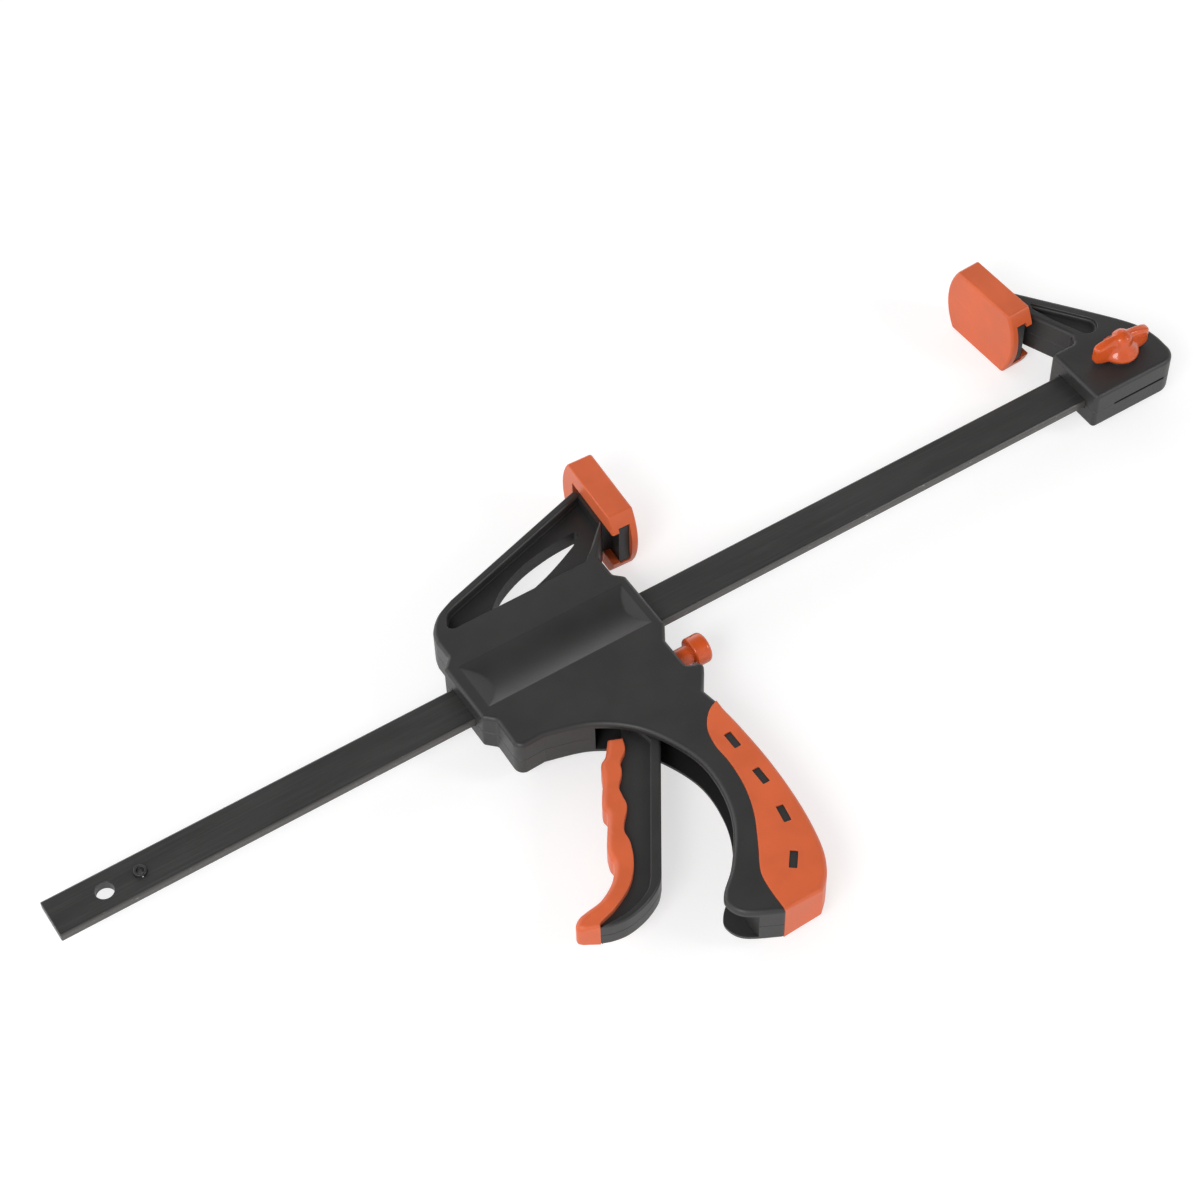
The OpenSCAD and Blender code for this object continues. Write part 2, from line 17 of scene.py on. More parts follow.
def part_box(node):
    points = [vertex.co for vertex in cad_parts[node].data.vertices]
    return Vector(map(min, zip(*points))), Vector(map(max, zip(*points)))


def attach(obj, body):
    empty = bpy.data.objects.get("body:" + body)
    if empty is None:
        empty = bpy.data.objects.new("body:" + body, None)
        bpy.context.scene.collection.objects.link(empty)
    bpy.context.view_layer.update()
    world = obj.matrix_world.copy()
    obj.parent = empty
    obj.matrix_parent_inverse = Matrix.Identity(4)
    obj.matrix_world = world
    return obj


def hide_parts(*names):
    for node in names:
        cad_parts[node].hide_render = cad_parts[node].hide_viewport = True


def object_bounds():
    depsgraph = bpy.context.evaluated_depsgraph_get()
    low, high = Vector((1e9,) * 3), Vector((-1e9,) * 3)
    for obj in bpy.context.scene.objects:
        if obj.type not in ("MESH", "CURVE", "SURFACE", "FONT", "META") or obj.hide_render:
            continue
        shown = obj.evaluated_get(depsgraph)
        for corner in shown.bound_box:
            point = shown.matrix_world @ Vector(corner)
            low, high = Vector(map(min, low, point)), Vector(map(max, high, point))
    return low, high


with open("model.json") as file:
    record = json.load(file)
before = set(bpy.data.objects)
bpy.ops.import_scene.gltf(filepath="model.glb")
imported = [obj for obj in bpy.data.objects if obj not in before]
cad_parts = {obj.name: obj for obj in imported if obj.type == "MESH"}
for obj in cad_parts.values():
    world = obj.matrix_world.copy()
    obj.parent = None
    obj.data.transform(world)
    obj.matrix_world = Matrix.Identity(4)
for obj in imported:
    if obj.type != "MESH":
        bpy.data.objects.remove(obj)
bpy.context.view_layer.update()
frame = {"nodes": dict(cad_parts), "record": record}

MM = 0.001                       # the outlines below are in millimetres, the scene in metres


# %% [markdown]
# ## Where things are
# The bar lies along X with its hanging hole at the origin, and its thickness is centred on Z = 0.
# The sliding body's outlines are measured from its rear face, and the jaw's from its own rear
# face, as a maker would draw them. So both offsets are read once from the loaded nodes, and never
# guessed.

# %% Read the driving places from the frame
def node_box(name):
    """Lowest and highest corner of a node, in millimetres."""
    return [np.array(corner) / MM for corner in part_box(name)]

bar_low, bar_high = node_box("bar")
grip_high = node_box("handle_grip")[1]
plate_low, plate_high = node_box("drive_plate")
PLATE_X, BAR_IN_JAW = 31.5, 23.5      # drive plate's middle in the body, bar's end in the jaw
body_x = (plate_low[0] + plate_high[0]) / 2 - PLATE_X
jaw_x = bar_high[0] - BAR_IN_JAW
half_t = grip_high[2]                 # half the thickness of body and jaw
bar_half_w, bar_half_t = bar_high[1], bar_high[2]
print("body at", round(body_x, 2), "jaw at", round(jaw_x, 2), "half thickness", round(half_t, 2))

# %% [markdown]
# ## Curves
# A moulded outline is a few straight edges, arcs and flowing curves. Arcs come from cosine and
# sine. Flowing curves pass through a handful of chosen points: the Catmull-Rom rule weighs the
# four nearest points by cubics of the distance travelled, so the curve needs no handles as a
# Bezier would.

# %% Arcs and flowing curves
def arc(centre, radius, start, end, steps=14):
    """Points at centre + radius * (cos t, sin t), with t going evenly from start to end degrees."""
    t = np.radians(np.linspace(start, end, steps + 1))
    return np.asarray(centre, float) + radius * np.stack([np.cos(t), np.sin(t)], 1)


def flow(points, steps=8):
    """Catmull-Rom curve: each stretch is the sum of its four nearest points times cubics of t."""
    p = np.asarray(points, float)
    p = np.vstack([p[:1], p, p[-1:]])
    near = np.stack([p[i:len(p) - 3 + i] for i in range(4)])
    t = np.arange(steps) / steps
    weights = 0.5 * np.stack([-t + 2 * t**2 - t**3, 2 - 5 * t**2 + 3 * t**3,
                              t + 4 * t**2 - 3 * t**3, t**3 - t**2])
    curve = np.einsum("kt,kmc->mtc", weights, near).reshape(-1, 2)
    return np.vstack([curve, p[-1:]])


def closed(*stretches):
    """Joins stretches into one loop, drops repeated points and runs it counter-clockwise."""
    p = np.vstack([np.reshape(np.asarray(s, float), (-1, 2)) for s in stretches])
    p = p[np.linalg.norm(p - np.roll(p, 1, axis=0), axis=1) > 0.02]
    x, y = p.T
    area = np.sum(x * np.roll(y, -1) - y * np.roll(x, -1))
    return p if area > 0 else p[::-1]

print("a quarter circle has", len(arc((0, 0), 1, 0, 90)), "points")

# %% [markdown]
# ## Insetting a loop
# A rounded edge is the same outline drawn again and again, each time a little further in and
# higher. The step inwards at a corner is the mitre of its two sides. Where a curve is tighter
# than the step, its short sides would turn inside out, so they are dropped, and their points
# gather where the sides that are left meet. An outward step, for a flared cutter, is the same
# with a negative distance.

# %% Inset steps, and corners eased by a small curve
def inset_steps(p, distance):
    """The move of each point when every side of a counter-clockwise loop moves in by its distance.
    Neighbouring sides meet at p + d * (n1 + n2) / (1 + n1.n2). A side that turns round is dropped,
    and the offset lines that are left, n.x = n.p + d, are crossed with each other instead."""
    count = len(p)
    d = np.broadcast_to(distance, count).astype(float)
    side = np.roll(p, -1, axis=0) - p
    side /= np.linalg.norm(side, axis=1, keepdims=True)
    normal = np.stack([-side[:, 1], side[:, 0]], 1)
    middle_d = (d + np.roll(d, -1)) / 2
    kept = np.arange(count)
    while True:
        last, first = np.roll(kept, 1), kept
        n1, n2 = normal[last], normal[first]
        cosine = np.sum(n1 * n2, axis=1)
        mitre = p[first] + d[first, None] * (n1 + n2) / np.maximum(1 + cosine, 0.35)[:, None]
        h1 = np.sum(n1 * p[last], axis=1) + middle_d[last]
        h2 = np.sum(n2 * p[first], axis=1) + middle_d[first]
        cross = n1[:, 0] * n2[:, 1] - n1[:, 1] * n2[:, 0]
        safe = np.where(np.abs(cross) < 0.05, 1, cross)
        crossing = np.stack([h1 * n2[:, 1] - h2 * n1[:, 1], n1[:, 0] * h2 - n2[:, 0] * h1], 1)
        adjacent = ((first - last) % count == 1) | (np.abs(cross) < 0.05)
        corner = np.where(adjacent[:, None], mitre, crossing / safe[:, None])
        forward = np.sum((np.roll(corner, -1, axis=0) - corner) * side[kept], axis=1) > 0
        if forward.all() or len(kept) < 8:
            break
        kept = kept[forward]
    nearest = np.searchsorted(kept, np.arange(count)) % len(kept)
    return corner[nearest] - p


def eased(p, radius, least_turn=22, steps=5):
    """Cuts each sharp corner by a parabola that leaves and meets its two sides along them."""
    before, after = np.roll(p, 1, axis=0) - p, np.roll(p, -1, axis=0) - p
    long_before, long_after = np.linalg.norm(before, axis=1), np.linalg.norm(after, axis=1)
    turn = np.pi - np.arccos(np.clip(np.sum(before * after, 1) / (long_before * long_after), -1, 1))
    cut = np.minimum(radius * np.tan(turn / 2), 0.45 * np.minimum(long_before, long_after))
    sharp = turn > np.radians(least_turn)
    t = np.linspace(0, 1, steps + 1)[None, :, None]
    first = (p + before * (cut / long_before)[:, None])[:, None]
    last = (p + after * (cut / long_after)[:, None])[:, None]
    curve = (1 - t)**2 * first + 2 * t * (1 - t) * p[:, None] + t**2 * last
    keep = np.ones(curve.shape[:2], bool)
    keep[~sharp, 1:] = False
    curve[~sharp, 0] = p[~sharp]
    return curve[keep]

# %% [markdown]
# ## Walls and solids
# The wall's section decides how the piece feels: a quarter circle at its foot and head for a soft
# moulded edge, a tiny V half way up where two half shells meet, or an outward flare on a cutter,
# which leaves a soft rim round the hollow that it cuts. The section is carried round the outline,
# which gives one grid, and a flat cap closes each end.

# %% A wall's section, carried round an outline
def wall(low, high, foot=0.0, head=0.0, groove=0.0, past=0.0, steps=6):
    """Rows of (inset, height): quarter circles of radius foot and head, inwards if positive.
    A radius may be an array with one value for each point of the outline."""
    angle = np.linspace(0, np.pi / 2, steps + 1)
    rows = []
    if past and np.any(foot):
        rows.append((foot, low - past))
    for a in (angle if np.any(foot) else angle[-1:]):
        rows.append((foot * (1 - np.sin(a)), low + np.abs(foot) * (1 - np.cos(a))))
    if groove:
        rows += [(0.0, -groove), (groove, 0.0), (0.0, groove)]
    for a in (angle if np.any(head) else angle[:1]):
        rows.append((head * (1 - np.cos(a)), high - np.abs(head) * (1 - np.sin(a))))
    if past and np.any(head):
        rows.append((head, high + past))
    return rows


def solid(name, rings):
    """A closed piece from a grid of rings (rows, points, xyz): quads between rows, and a cap at
    each end."""
    rows, points = rings.shape[:2]
    index = np.arange(rows * points).reshape(rows, points)
    following = np.roll(index, -1, axis=1)
    quads = np.stack([index[:-1], following[:-1], following[1:], index[1:]], -1).reshape(-1, 4)
    faces = quads.tolist() + [index[0, ::-1].tolist(), index[-1].tolist()]
    mesh = bpy.data.meshes.new(name)
    mesh.from_pydata((rings.reshape(-1, 3) * MM).tolist(), [], faces)
    piece = bpy.data.objects.new(name, mesh)
    bpy.context.scene.collection.objects.link(piece)
    return piece


def slab(name, outline, low, high, **section):
    """An outline in X and Y carried up Z through the rows of its wall's section: each row goes its
    share of the way to the whole inset, so that rows never cross."""
    rows = wall(low, high, **section)
    insets = [np.broadcast_to(inset, len(outline)) for inset, _ in rows]
    deepest = {sign: np.max([sign * inset for inset in insets], axis=0) for sign in (1, -1)}
    rings = []
    for inset, height in rows:
        sign = -1 if np.any(np.asarray(inset) < 0) else 1
        whole = np.maximum(deepest[sign], 1e-6)
        share = np.broadcast_to(sign * np.asarray(inset) / whole, len(outline))[:, None]
        ring = outline + share * inset_steps(outline, sign * whole)
        rings.append(np.column_stack([ring, np.broadcast_to(height, len(outline))]))
    return solid(name, np.array(rings))

# %% [markdown]
# ## Placing, joining and cutting
# An outline that stands across the bar is made lying down, then its axes are swapped in a circle:
# height becomes X, and the outline runs along Y and Z. Pieces are joined and cut by a boolean on
# closed solids, as a mould is: the outer form first, then every hollow with its own rounded rim.

# %% Moving a mesh, and booleans
def place(piece, shift=(0, 0, 0), turn=0.0, across=False, mirrored=False):
    """Swaps the axes in a circle or mirrors X if asked, turns about Z by degrees, moves by mm."""
    matrix = Matrix.Translation(Vector(shift) * MM) @ Matrix.Rotation(np.radians(turn), 4, "Z")
    if mirrored:
        matrix = matrix @ Matrix.Scale(-1, 4, (1, 0, 0))
    if across:
        matrix = matrix @ Matrix(((0, 0, 1, 0), (1, 0, 0, 0), (0, 1, 0, 0), (0, 0, 0, 1)))
    piece.data.transform(matrix)
    if mirrored:
        piece.data.flip_normals()
    return piece


def combine(piece, tools, how):
    """Applies one boolean of each tool to the piece, and removes the tools."""
    for tool in tools:
        change = piece.modifiers.new(how, "BOOLEAN")
        change.operation, change.solver, change.object = how, "MANIFOLD", tool
    view = bpy.context.evaluated_depsgraph_get()
    mesh = bpy.data.meshes.new_from_object(piece.evaluated_get(view))
    piece.modifiers.clear()
    piece.data = mesh
    for tool in tools:
        bpy.data.objects.remove(tool)
    return piece


def cut(piece, *tools):
    """Takes the tools' space out of the piece."""
    return combine(piece, tools, "DIFFERENCE")


def join(piece, *tools):
    """Adds the tools' space to the piece."""
    return combine(piece, tools, "UNION")


def copy_of(piece, name):
    """The same mesh in a second object."""
    twin = bpy.data.objects.new(name, piece.data.copy())
    bpy.context.scene.collection.objects.link(twin)
    return twin


def rectangle(x0, y0, x1, y1):
    """Four corners, counter-clockwise."""
    return np.array([[x0, y0], [x1, y0], [x1, y1], [x0, y1]], float)


def circle(centre, radius, steps=48):
    """A full circle as a loop."""
    return arc(centre, radius, 0, 360 * (1 - 1 / steps), steps - 1)

# %% [markdown]
# ## Handing a piece over
# A finished mesh is cleaned: flat neighbours become one face, edges over some thirty degrees stay
# crisp, and the shading follows the large faces, so that flats look flat beside their fillets.
# Then the piece rides on its body, stands for its node and names its material.

# %% Clean, shade and hand over
def deliver(piece, body, node, slot, crisp=32):
    mesh = bmesh.new()
    mesh.from_mesh(piece.data)
    bmesh.ops.remove_doubles(mesh, verts=mesh.verts, dist=2e-6)
    bmesh.ops.dissolve_limit(mesh, angle_limit=np.radians(0.4), verts=mesh.verts, edges=mesh.edges)
    mesh.to_mesh(piece.data)
    mesh.free()
    piece.data.shade_smooth()
    piece.data.set_sharp_from_angle(angle=np.radians(crisp))
    weigh = piece.modifiers.new("flat faces lead", "WEIGHTED_NORMAL")
    weigh.keep_sharp = True
    piece.data.materials.clear()
    piece.data.materials.append(finishes[slot])
    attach(piece, body)
    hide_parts(node)
    print(f"{piece.name}: {len(piece.data.polygons)} faces, for {node} on {body}")
    return piece

# %% [markdown]
# ## Finishes
# Every finish is a Principled shader fed by noise in the object's own space, so it stays with the
# piece in any view. A maker sees three things on moulded plastic: a very fine spark-eroded grain,
# slow waves in gloss, and a slightly uneven colour. Steel adds streaks along the rolling
# direction and bright rubbed edges. Each helper adds one such layer.

# %% Small helpers for node trees
finishes = {}


class Finish:
    """A material's node tree, with one method for each kind of layer."""

    def __init__(self, slot, **sockets):
        self.material = bpy.data.materials.new(slot)
        self.material.use_nodes = True
        self.tree = self.material.node_tree
        self.shader = self.tree.nodes["Principled BSDF"]
        for socket, value in sockets.items():
            self.shader.inputs[socket.replace("_", " ")].default_value = value
        self.space = self.tree.nodes.new("ShaderNodeTexCoord").outputs["Object"]
        finishes[slot] = self.material

    def node(self, kind, settings=(), **inputs):
        """Adds a node, sets its attributes, and links or sets its inputs by name."""
        made = self.tree.nodes.new(kind)
        for name, value in dict(settings).items():
            setattr(made, name, value)
        for name, value in inputs.items():
            socket = made.inputs[int(name[1:])] if name[0] == "i" and name[1:].isdigit() \
                else made.inputs[name.replace("_", " ")]
            if isinstance(value, bpy.types.NodeSocket):
                self.tree.links.new(value, socket)
            else:
                socket.default_value = value
        return made

    def noise(self, size_mm, detail=3.0, stretch=(1, 1, 1), roughness=0.55):
        """Noise whose features are about size_mm across, stretched along the axes."""
        spread = self.node("ShaderNodeMapping", Vector=self.space,
                           Scale=tuple(1 / s for s in stretch))
        return self.node("ShaderNodeTexNoise", Vector=spread.outputs[0], Scale=1 / (size_mm * MM),
                         Detail=detail, Roughness=roughness).outputs["Fac"]

    def ramp(self, value, low, high, to_low=0.0, to_high=1.0):
        """Maps value from low..high to to_low..to_high, smoothly at both ends."""
        return self.node("ShaderNodeMapRange", {"interpolation_type": "SMOOTHSTEP"}, Value=value,
                         From_Min=low, From_Max=high, To_Min=to_low, To_Max=to_high).outputs[0]

    def maths(self, operation, a, b=0.0):
        """One arithmetic step on two values."""
        return self.node("ShaderNodeMath", {"operation": operation}, i0=a, i1=b).outputs[0]

    def mix(self, factor, first, second):
        """Blends two colours by a factor."""
        return self.node("ShaderNodeMix", {"data_type": "RGBA"}, i0=factor, i6=first,
                         i7=second).outputs[2]

    def set(self, socket, value):
        """Links a value to one of the shader's sockets."""
        self.tree.links.new(value, self.shader.inputs[socket])

    def bump(self, *layers):
        """Stacks bumps, each given as (height, depth in mm)."""
        normal = None
        for height, depth in layers:
            made = self.node("ShaderNodeBump", Height=height, Distance=depth * MM)
            if normal:
                self.tree.links.new(normal, made.inputs["Normal"])
            normal = made.outputs[0]
        self.set("Normal", normal)


def tone(colour, factor):
    """A colour with its brightness scaled."""
    return tuple(min(1.0, c * factor) for c in colour) + (1.0,)

# %% [markdown]
# ### Black plastic
# The shells, lever and jaw are glass-filled nylon from an eroded mould. It is charcoal, not
# black, and it scatters highlights over a wide lobe. Fine noise drives bump and roughness
# together, and broad noise shifts the colour by a few per cent, because an even value would look
# like paint.

# %% Black plastic
def black_plastic():
    """Charcoal with a fine eroded grain, slow gloss waves and a few pale handling marks."""
    charcoal = (0.0245, 0.0238, 0.0235)
    f = Finish("black_plastic", Roughness=0.5, Specular_IOR_Level=0.5)
    grain = f.noise(0.22, 2.0)
    cloud = f.noise(14, 3.0)
    marks = f.ramp(f.noise(1.6, 5.0, (6, 1, 6), 0.7), 0.70, 0.78)
    base = f.mix(f.ramp(cloud, 0.3, 0.7), tone(charcoal, 0.93), tone(charcoal, 1.08))
    speck = f.mix(f.maths("MULTIPLY", marks, 0.22), base, tone(charcoal, 2.2))
    f.set("Base Color", speck)
    f.set("Roughness", f.maths("ADD", f.ramp(cloud, 0.3, 0.7, 0.40, 0.47),
                               f.ramp(grain, 0.3, 0.7, -0.03, 0.05)))
    f.bump((grain, 0.016), (f.noise(0.8, 2.0), 0.02))

black_plastic()

# %% [markdown]
# ### Three oranges
# The pads are a soft, almost dull plastic, the grips a rubber moulded over the handle, and the
# knob and button a glossy hard plastic. They share one pigment. What tells them apart is the
# grain and the gloss: pads and rubber are rough with a touch of sheen, and the glossy parts carry
# a clear coat with faint flow lines.

# %% Pads, grips, knob and button
PIGMENT = (0.66, 0.115, 0.030)


def soft_orange(slot, grain_mm, depth, rough):
    """Pigment with a moulded grain, slow shifts of colour and slightly greyed scuffs."""
    f = Finish(slot, Roughness=rough, Specular_IOR_Level=0.5, Sheen_Weight=0.06,
               Sheen_Roughness=0.5)
    grain = f.noise(grain_mm, 2.0)
    cloud = f.noise(11, 3.0)
    scuff = f.ramp(f.noise(3.0, 5.0, (1, 3, 1), 0.65), 0.62, 0.74)
    base = f.mix(f.ramp(cloud, 0.3, 0.7), tone(PIGMENT, 0.94), tone(PIGMENT, 1.05))
    f.set("Base Color", f.mix(f.maths("MULTIPLY", scuff, 0.16), base, (0.72, 0.26, 0.14, 1)))
    f.set("Roughness", f.maths("ADD", f.ramp(cloud, 0.3, 0.7, rough - 0.04, rough + 0.04),
                               f.ramp(grain, 0.3, 0.7, -0.03, 0.04)))
    f.bump((grain, depth), (f.noise(1.1, 2.0), depth))


def gloss_orange():
    """Brighter pigment under a thin coat, with faint flow lines from the moulding."""
    bright = (0.64, 0.090, 0.014)
    f = Finish("orange_gloss", Roughness=0.3, Specular_IOR_Level=0.3, Coat_Weight=0.5,
               Coat_Roughness=0.04, Coat_IOR=1.5)
    cloud = f.noise(5, 3.0)
    f.set("Base Color", f.mix(f.ramp(cloud, 0.3, 0.7), tone(bright, 0.92), tone(bright, 1.05)))
    f.set("Roughness", f.ramp(f.noise(2.2, 4.0), 0.3, 0.7, 0.22, 0.36))
    f.bump((f.noise(1.8, 2.0), 0.004), (f.noise(0.3, 2.0), 0.001))

soft_orange("orange_pad", 0.3, 0.012, 0.42)
soft_orange("orange_rubber", 0.2, 0.016, 0.46)
gloss_orange()

# %% [markdown]
# ### Steels
# The bar is hot-blackened strip: a dark oxide skin with long faint rolling streaks. Where hands
# and the body rub it, along its narrow edges, the bare metal shows through in flecks. Distance
# from the bar's centreline picks those edges, so the wear follows the part and not the picture.
# Small steel parts share one plated finish with fine turning marks.

# %% Dark bar steel
def dark_steel():
    """Oxide skin with rolling streaks, and bare flecks where the bar's narrow edges are rubbed."""
    f = Finish("dark_steel", Roughness=0.45, Metallic=0.0, Specular_IOR_Level=0.6)
    place_of = f.node("ShaderNodeSeparateXYZ", Vector=f.space)
    across = f.maths("ABSOLUTE", place_of.outputs["Y"])
    side = f.ramp(across, (bar_half_w - 0.55) * MM, (bar_half_w - 0.1) * MM)
    streak = f.noise(0.5, 4.0, (60, 1, 1), 0.6)
    cloud = f.noise(9, 4.0, (3, 1, 1))
    flecks = f.ramp(f.noise(1.1, 6.0, (2.5, 1, 1), 0.75), 0.60, 0.72)
    rubbed = f.maths("MULTIPLY", side, flecks)
    skin = f.mix(f.ramp(cloud, 0.3, 0.7), (0.018, 0.0178, 0.0175, 1), (0.027, 0.0265, 0.026, 1))
    lines = f.maths("MULTIPLY", f.ramp(streak, 0.45, 0.7), 0.25)
    lined = f.mix(lines, skin, (0.06, 0.057, 0.053, 1))
    edge = f.mix(f.maths("MULTIPLY", side, 0.55), lined, (0.115, 0.108, 0.10, 1))
    f.set("Base Color", f.mix(rubbed, edge, (0.40, 0.385, 0.36, 1)))
    f.set("Metallic", f.maths("ADD", f.maths("MULTIPLY", rubbed, 0.7),
                              f.maths("MULTIPLY", side, 0.15)))
    f.set("Roughness", f.ramp(streak, 0.3, 0.7, 0.36, 0.5))
    f.bump((streak, 0.008), (f.noise(0.6, 5.0, (3, 1, 1), 0.7), 0.02))

dark_steel()

# %% Plated, hardened and spring steel
def small_steel(slot, colour, rough, grain_mm):
    """Bright or dull steel with fine turning marks and slight stains."""
    f = Finish(slot, Metallic=0.9, Roughness=rough)
    stain = f.noise(2.5, 4.0)
    marks = f.noise(grain_mm, 3.0, (1, 1, 4))
    f.set("Base Color", f.mix(f.ramp(stain, 0.35, 0.75), tone(colour, 1.0), tone(colour, 0.7)))
    f.set("Roughness", f.ramp(marks, 0.3, 0.7, rough - 0.06, rough + 0.08))
    f.bump((marks, 0.004))

small_steel("bright_steel", (0.55, 0.55, 0.56), 0.32, 0.12)
small_steel("plate_steel", (0.3, 0.3, 0.31), 0.42, 0.2)
small_steel("spring_steel", (0.42, 0.42, 0.43), 0.3, 0.15)
print("finishes:", ", ".join(finishes))

# %% [markdown]
# ## The bar
# The bar is cold-drawn strip with its long edges broken by a small bevel. Its section is an
# outline carried along X, and the holes are drilled with a slightly flared cutter, which leaves
# the small countersink that a deburring tool leaves.

# %% Bar and hollow pin
knob_x = bar_high[0] - 7.4            # the knob's screw stands 7.4 from the bar's front end
BEVEL, HANG_HOLE_R, PIN_X, PIN_HOLE_R, SCREW_HOLE_R = 0.5, 2.5, 10, 1.76, 2.8
w, t = bar_half_w, bar_half_t
bar_section = closed([[-w + BEVEL, -t], [w - BEVEL, -t], [w, -t + BEVEL], [w, t - BEVEL],
                      [w - BEVEL, t], [-w + BEVEL, t], [-w, t - BEVEL], [-w, -t + BEVEL]])
steel_bar = place(slab("steel_bar", eased(bar_section, 0.5, 20, 3), bar_low[0], bar_high[0],
                       foot=0.25, head=0.25, steps=3), across=True)


def drill(centre, radius, low, high, flare=0.2):
    """A round cutter that flares at both faces of what it drills."""
    return slab("drill", circle(centre, radius), low - 0.02, high + 0.02,
                foot=-flare, head=-flare, past=1.0, steps=4)

holes = [(0, HANG_HOLE_R), (PIN_X, PIN_HOLE_R), (knob_x, SCREW_HOLE_R)]
cut(steel_bar, *[drill((x, 0), radius, -t, t) for x, radius in holes])
deliver(steel_bar, "bar_and_fixed_jaw", "bar", "dark_steel")

pin_low, pin_high = node_box("stop_pin")
PIN_R, PIN_WALL, PIN_SLOT = 1.75, 0.7, 0.4
hollow_pin = slab("hollow_pin", circle((PIN_X, 0), PIN_R), pin_low[2], pin_high[2],
                  foot=0.25, head=0.25)
cut(hollow_pin, drill((PIN_X, 0), PIN_R - PIN_WALL, pin_low[2], pin_high[2]),
    slab("slot", rectangle(PIN_X - PIN_SLOT / 2, -3, PIN_X + PIN_SLOT / 2, 0), -4, 4))
deliver(hollow_pin, "bar_and_fixed_jaw", "stop_pin", "dark_steel")

# %% [markdown]
# ## The pads and the heads that carry them
# Each pad is a thick D-ended block that slides up over a T-shaped head on the jaw. Its outline is
# two straight sides and two bulging ends, which are arcs of a large circle. The pad's groove is
# open at its lower end, where the dark head shows, and closed at its upper end, which stops the
# pad on the head.

# %% Pad and head
PAD = dict(length=22.4, bulge=3.4, height=23.0, depth=7.8, hook=2.2, head_t=3.2, head_h=15.0,
           head_l=24.5, neck_h=12.0, mouth_high=8.7)
TOE_IN, PAD_Y, SEAT = 2.7, 36.5, 0.1
HEAD_LOW = PAD["length"] / 2 + 1.8
HEAD_HIGH = PAD["head_l"] - HEAD_LOW


def d_ended(length, height, bulge, steps=20):
    """Two straight sides joined by arcs of the circle through their ends and the bulge's tip."""
    radius = (height**2 / 4 + bulge**2) / (2 * bulge)
    reach = np.degrees(np.arcsin(height / 2 / radius))
    middle = length / 2 + bulge - radius
    return closed(arc((middle, 0), radius, -reach, reach, steps),
                  arc((-middle, 0), radius, 180 - reach, 180 + reach, steps))


def pad_block(name):
    """The pad in its own frame: its back at X = 0 and its pressing face at X = depth."""
    block = slab(name, eased(d_ended(PAD["length"], PAD["height"], PAD["bulge"]), 1.2, 22, 5),
                 0, PAD["depth"], foot=0.45, head=0.9)
    groove_h, mouth_h = PAD["head_h"] / 2 + SEAT, PAD["neck_h"] / 2 + 2 * SEAT
    groove = slab("groove", rectangle(-30, -groove_h, HEAD_HIGH + SEAT, groove_h),
                  PAD["hook"], PAD["hook"] + PAD["head_t"] + 2 * SEAT)
    mouth = slab("mouth", rectangle(-30, -mouth_h, PAD["mouth_high"], mouth_h),
                 -1, PAD["hook"] + 0.5)
    return place(cut(block, groove, mouth), across=True)


def head_blocks(neck_high, neck_from):
    """The T-head and its neck, in the pad's frame. The neck ends neck_high above the pad's middle,
    and starts at the X of neck_from, inside the arm."""
    from_x, wide, tall = PAD["hook"] + SEAT, PAD["head_h"] / 2, PAD["neck_h"] / 2
    plate = slab("head", eased(d_ended(PAD["length"] - 1, PAD["height"], PAD["bulge"]), 1, 22, 3),
                 from_x, from_x + PAD["head_t"], foot=0.3, head=0.3, steps=3)
    sides = slab("sides", rectangle(-HEAD_LOW, -wide, HEAD_HIGH, wide), 0, PAD["depth"])
    combine(plate, [sides], "INTERSECT")
    neck = slab("neck", eased(rectangle(4.5 - HEAD_LOW, -tall, neck_high, tall), 0.8, 22, 4),
                neck_from, from_x + 0.1)
    return [place(plate, across=True), place(neck, across=True)]


def at_moving_pad(piece):
    """Puts a piece from the pad's frame on the sliding body's arm."""
    return place(piece, (body_x + 61.8, PAD_Y, 0), -TOE_IN)


def at_fixed_pad(piece):
    """Puts a piece from the pad's frame on the fixed jaw, facing the other way."""
    return place(piece, (jaw_x + 2.4, PAD_Y, 0), TOE_IN, mirrored=True)

deliver(at_moving_pad(pad_block("sliding_pad")), "sliding_body", "moving_jaw_pad", "orange_pad")
deliver(at_fixed_pad(pad_block("end_pad")), "bar_and_fixed_jaw", "fixed_jaw_pad", "orange_pad")

# %% [markdown]
# ## The fixed jaw
# One moulding: a block round the bar's end, and an arm that leans back to the pad. Its outline is
# two quarter-round corners, a long straight back and a hollow inner side. Both faces have a
# teardrop hollow that keeps the walls even while the plastic cools.

# %% Fixed jaw
FILLET, GROOVE = 1.3, 0.14
FOOT_Y, JAW_R = bar_half_w + 4.3, 29.7
jaw_outline = closed(
    arc([1.3, -FOOT_Y + 1.3], 1.3, 180, 270, 6), arc([JAW_R - 5, -FOOT_Y + 5], 5, 270, 360, 16),
    flow([[JAW_R, -4.6], [JAW_R, -0.5], [28.6, 4.6], [25.4, 10.4], [18.4, 20]]),
    [[3.1, 40], [2.5, 39.2], [3.6, 26.4], [9.3, 13]],
    arc([7, FOOT_Y + 1.6], 1.6, 0, -90, 8), arc([1.3, FOOT_Y - 1.3], 1.3, 90, 180, 6))
teardrop = closed([[7.3, 29.7]], arc([15.3, 13.8], 3.1, 40, -150, 18), [[8.7, 21], [6.6, 27.6]])
JAW_HOLLOW, NUT_ACROSS, NUT_DEEP = 1.2, 8.2, 3.3
SLIT_FROM, SLIT_TO, SLIT_HALF = 7.2, 25.2, 0.4     # the saw cut that lets the jaw grip the bar


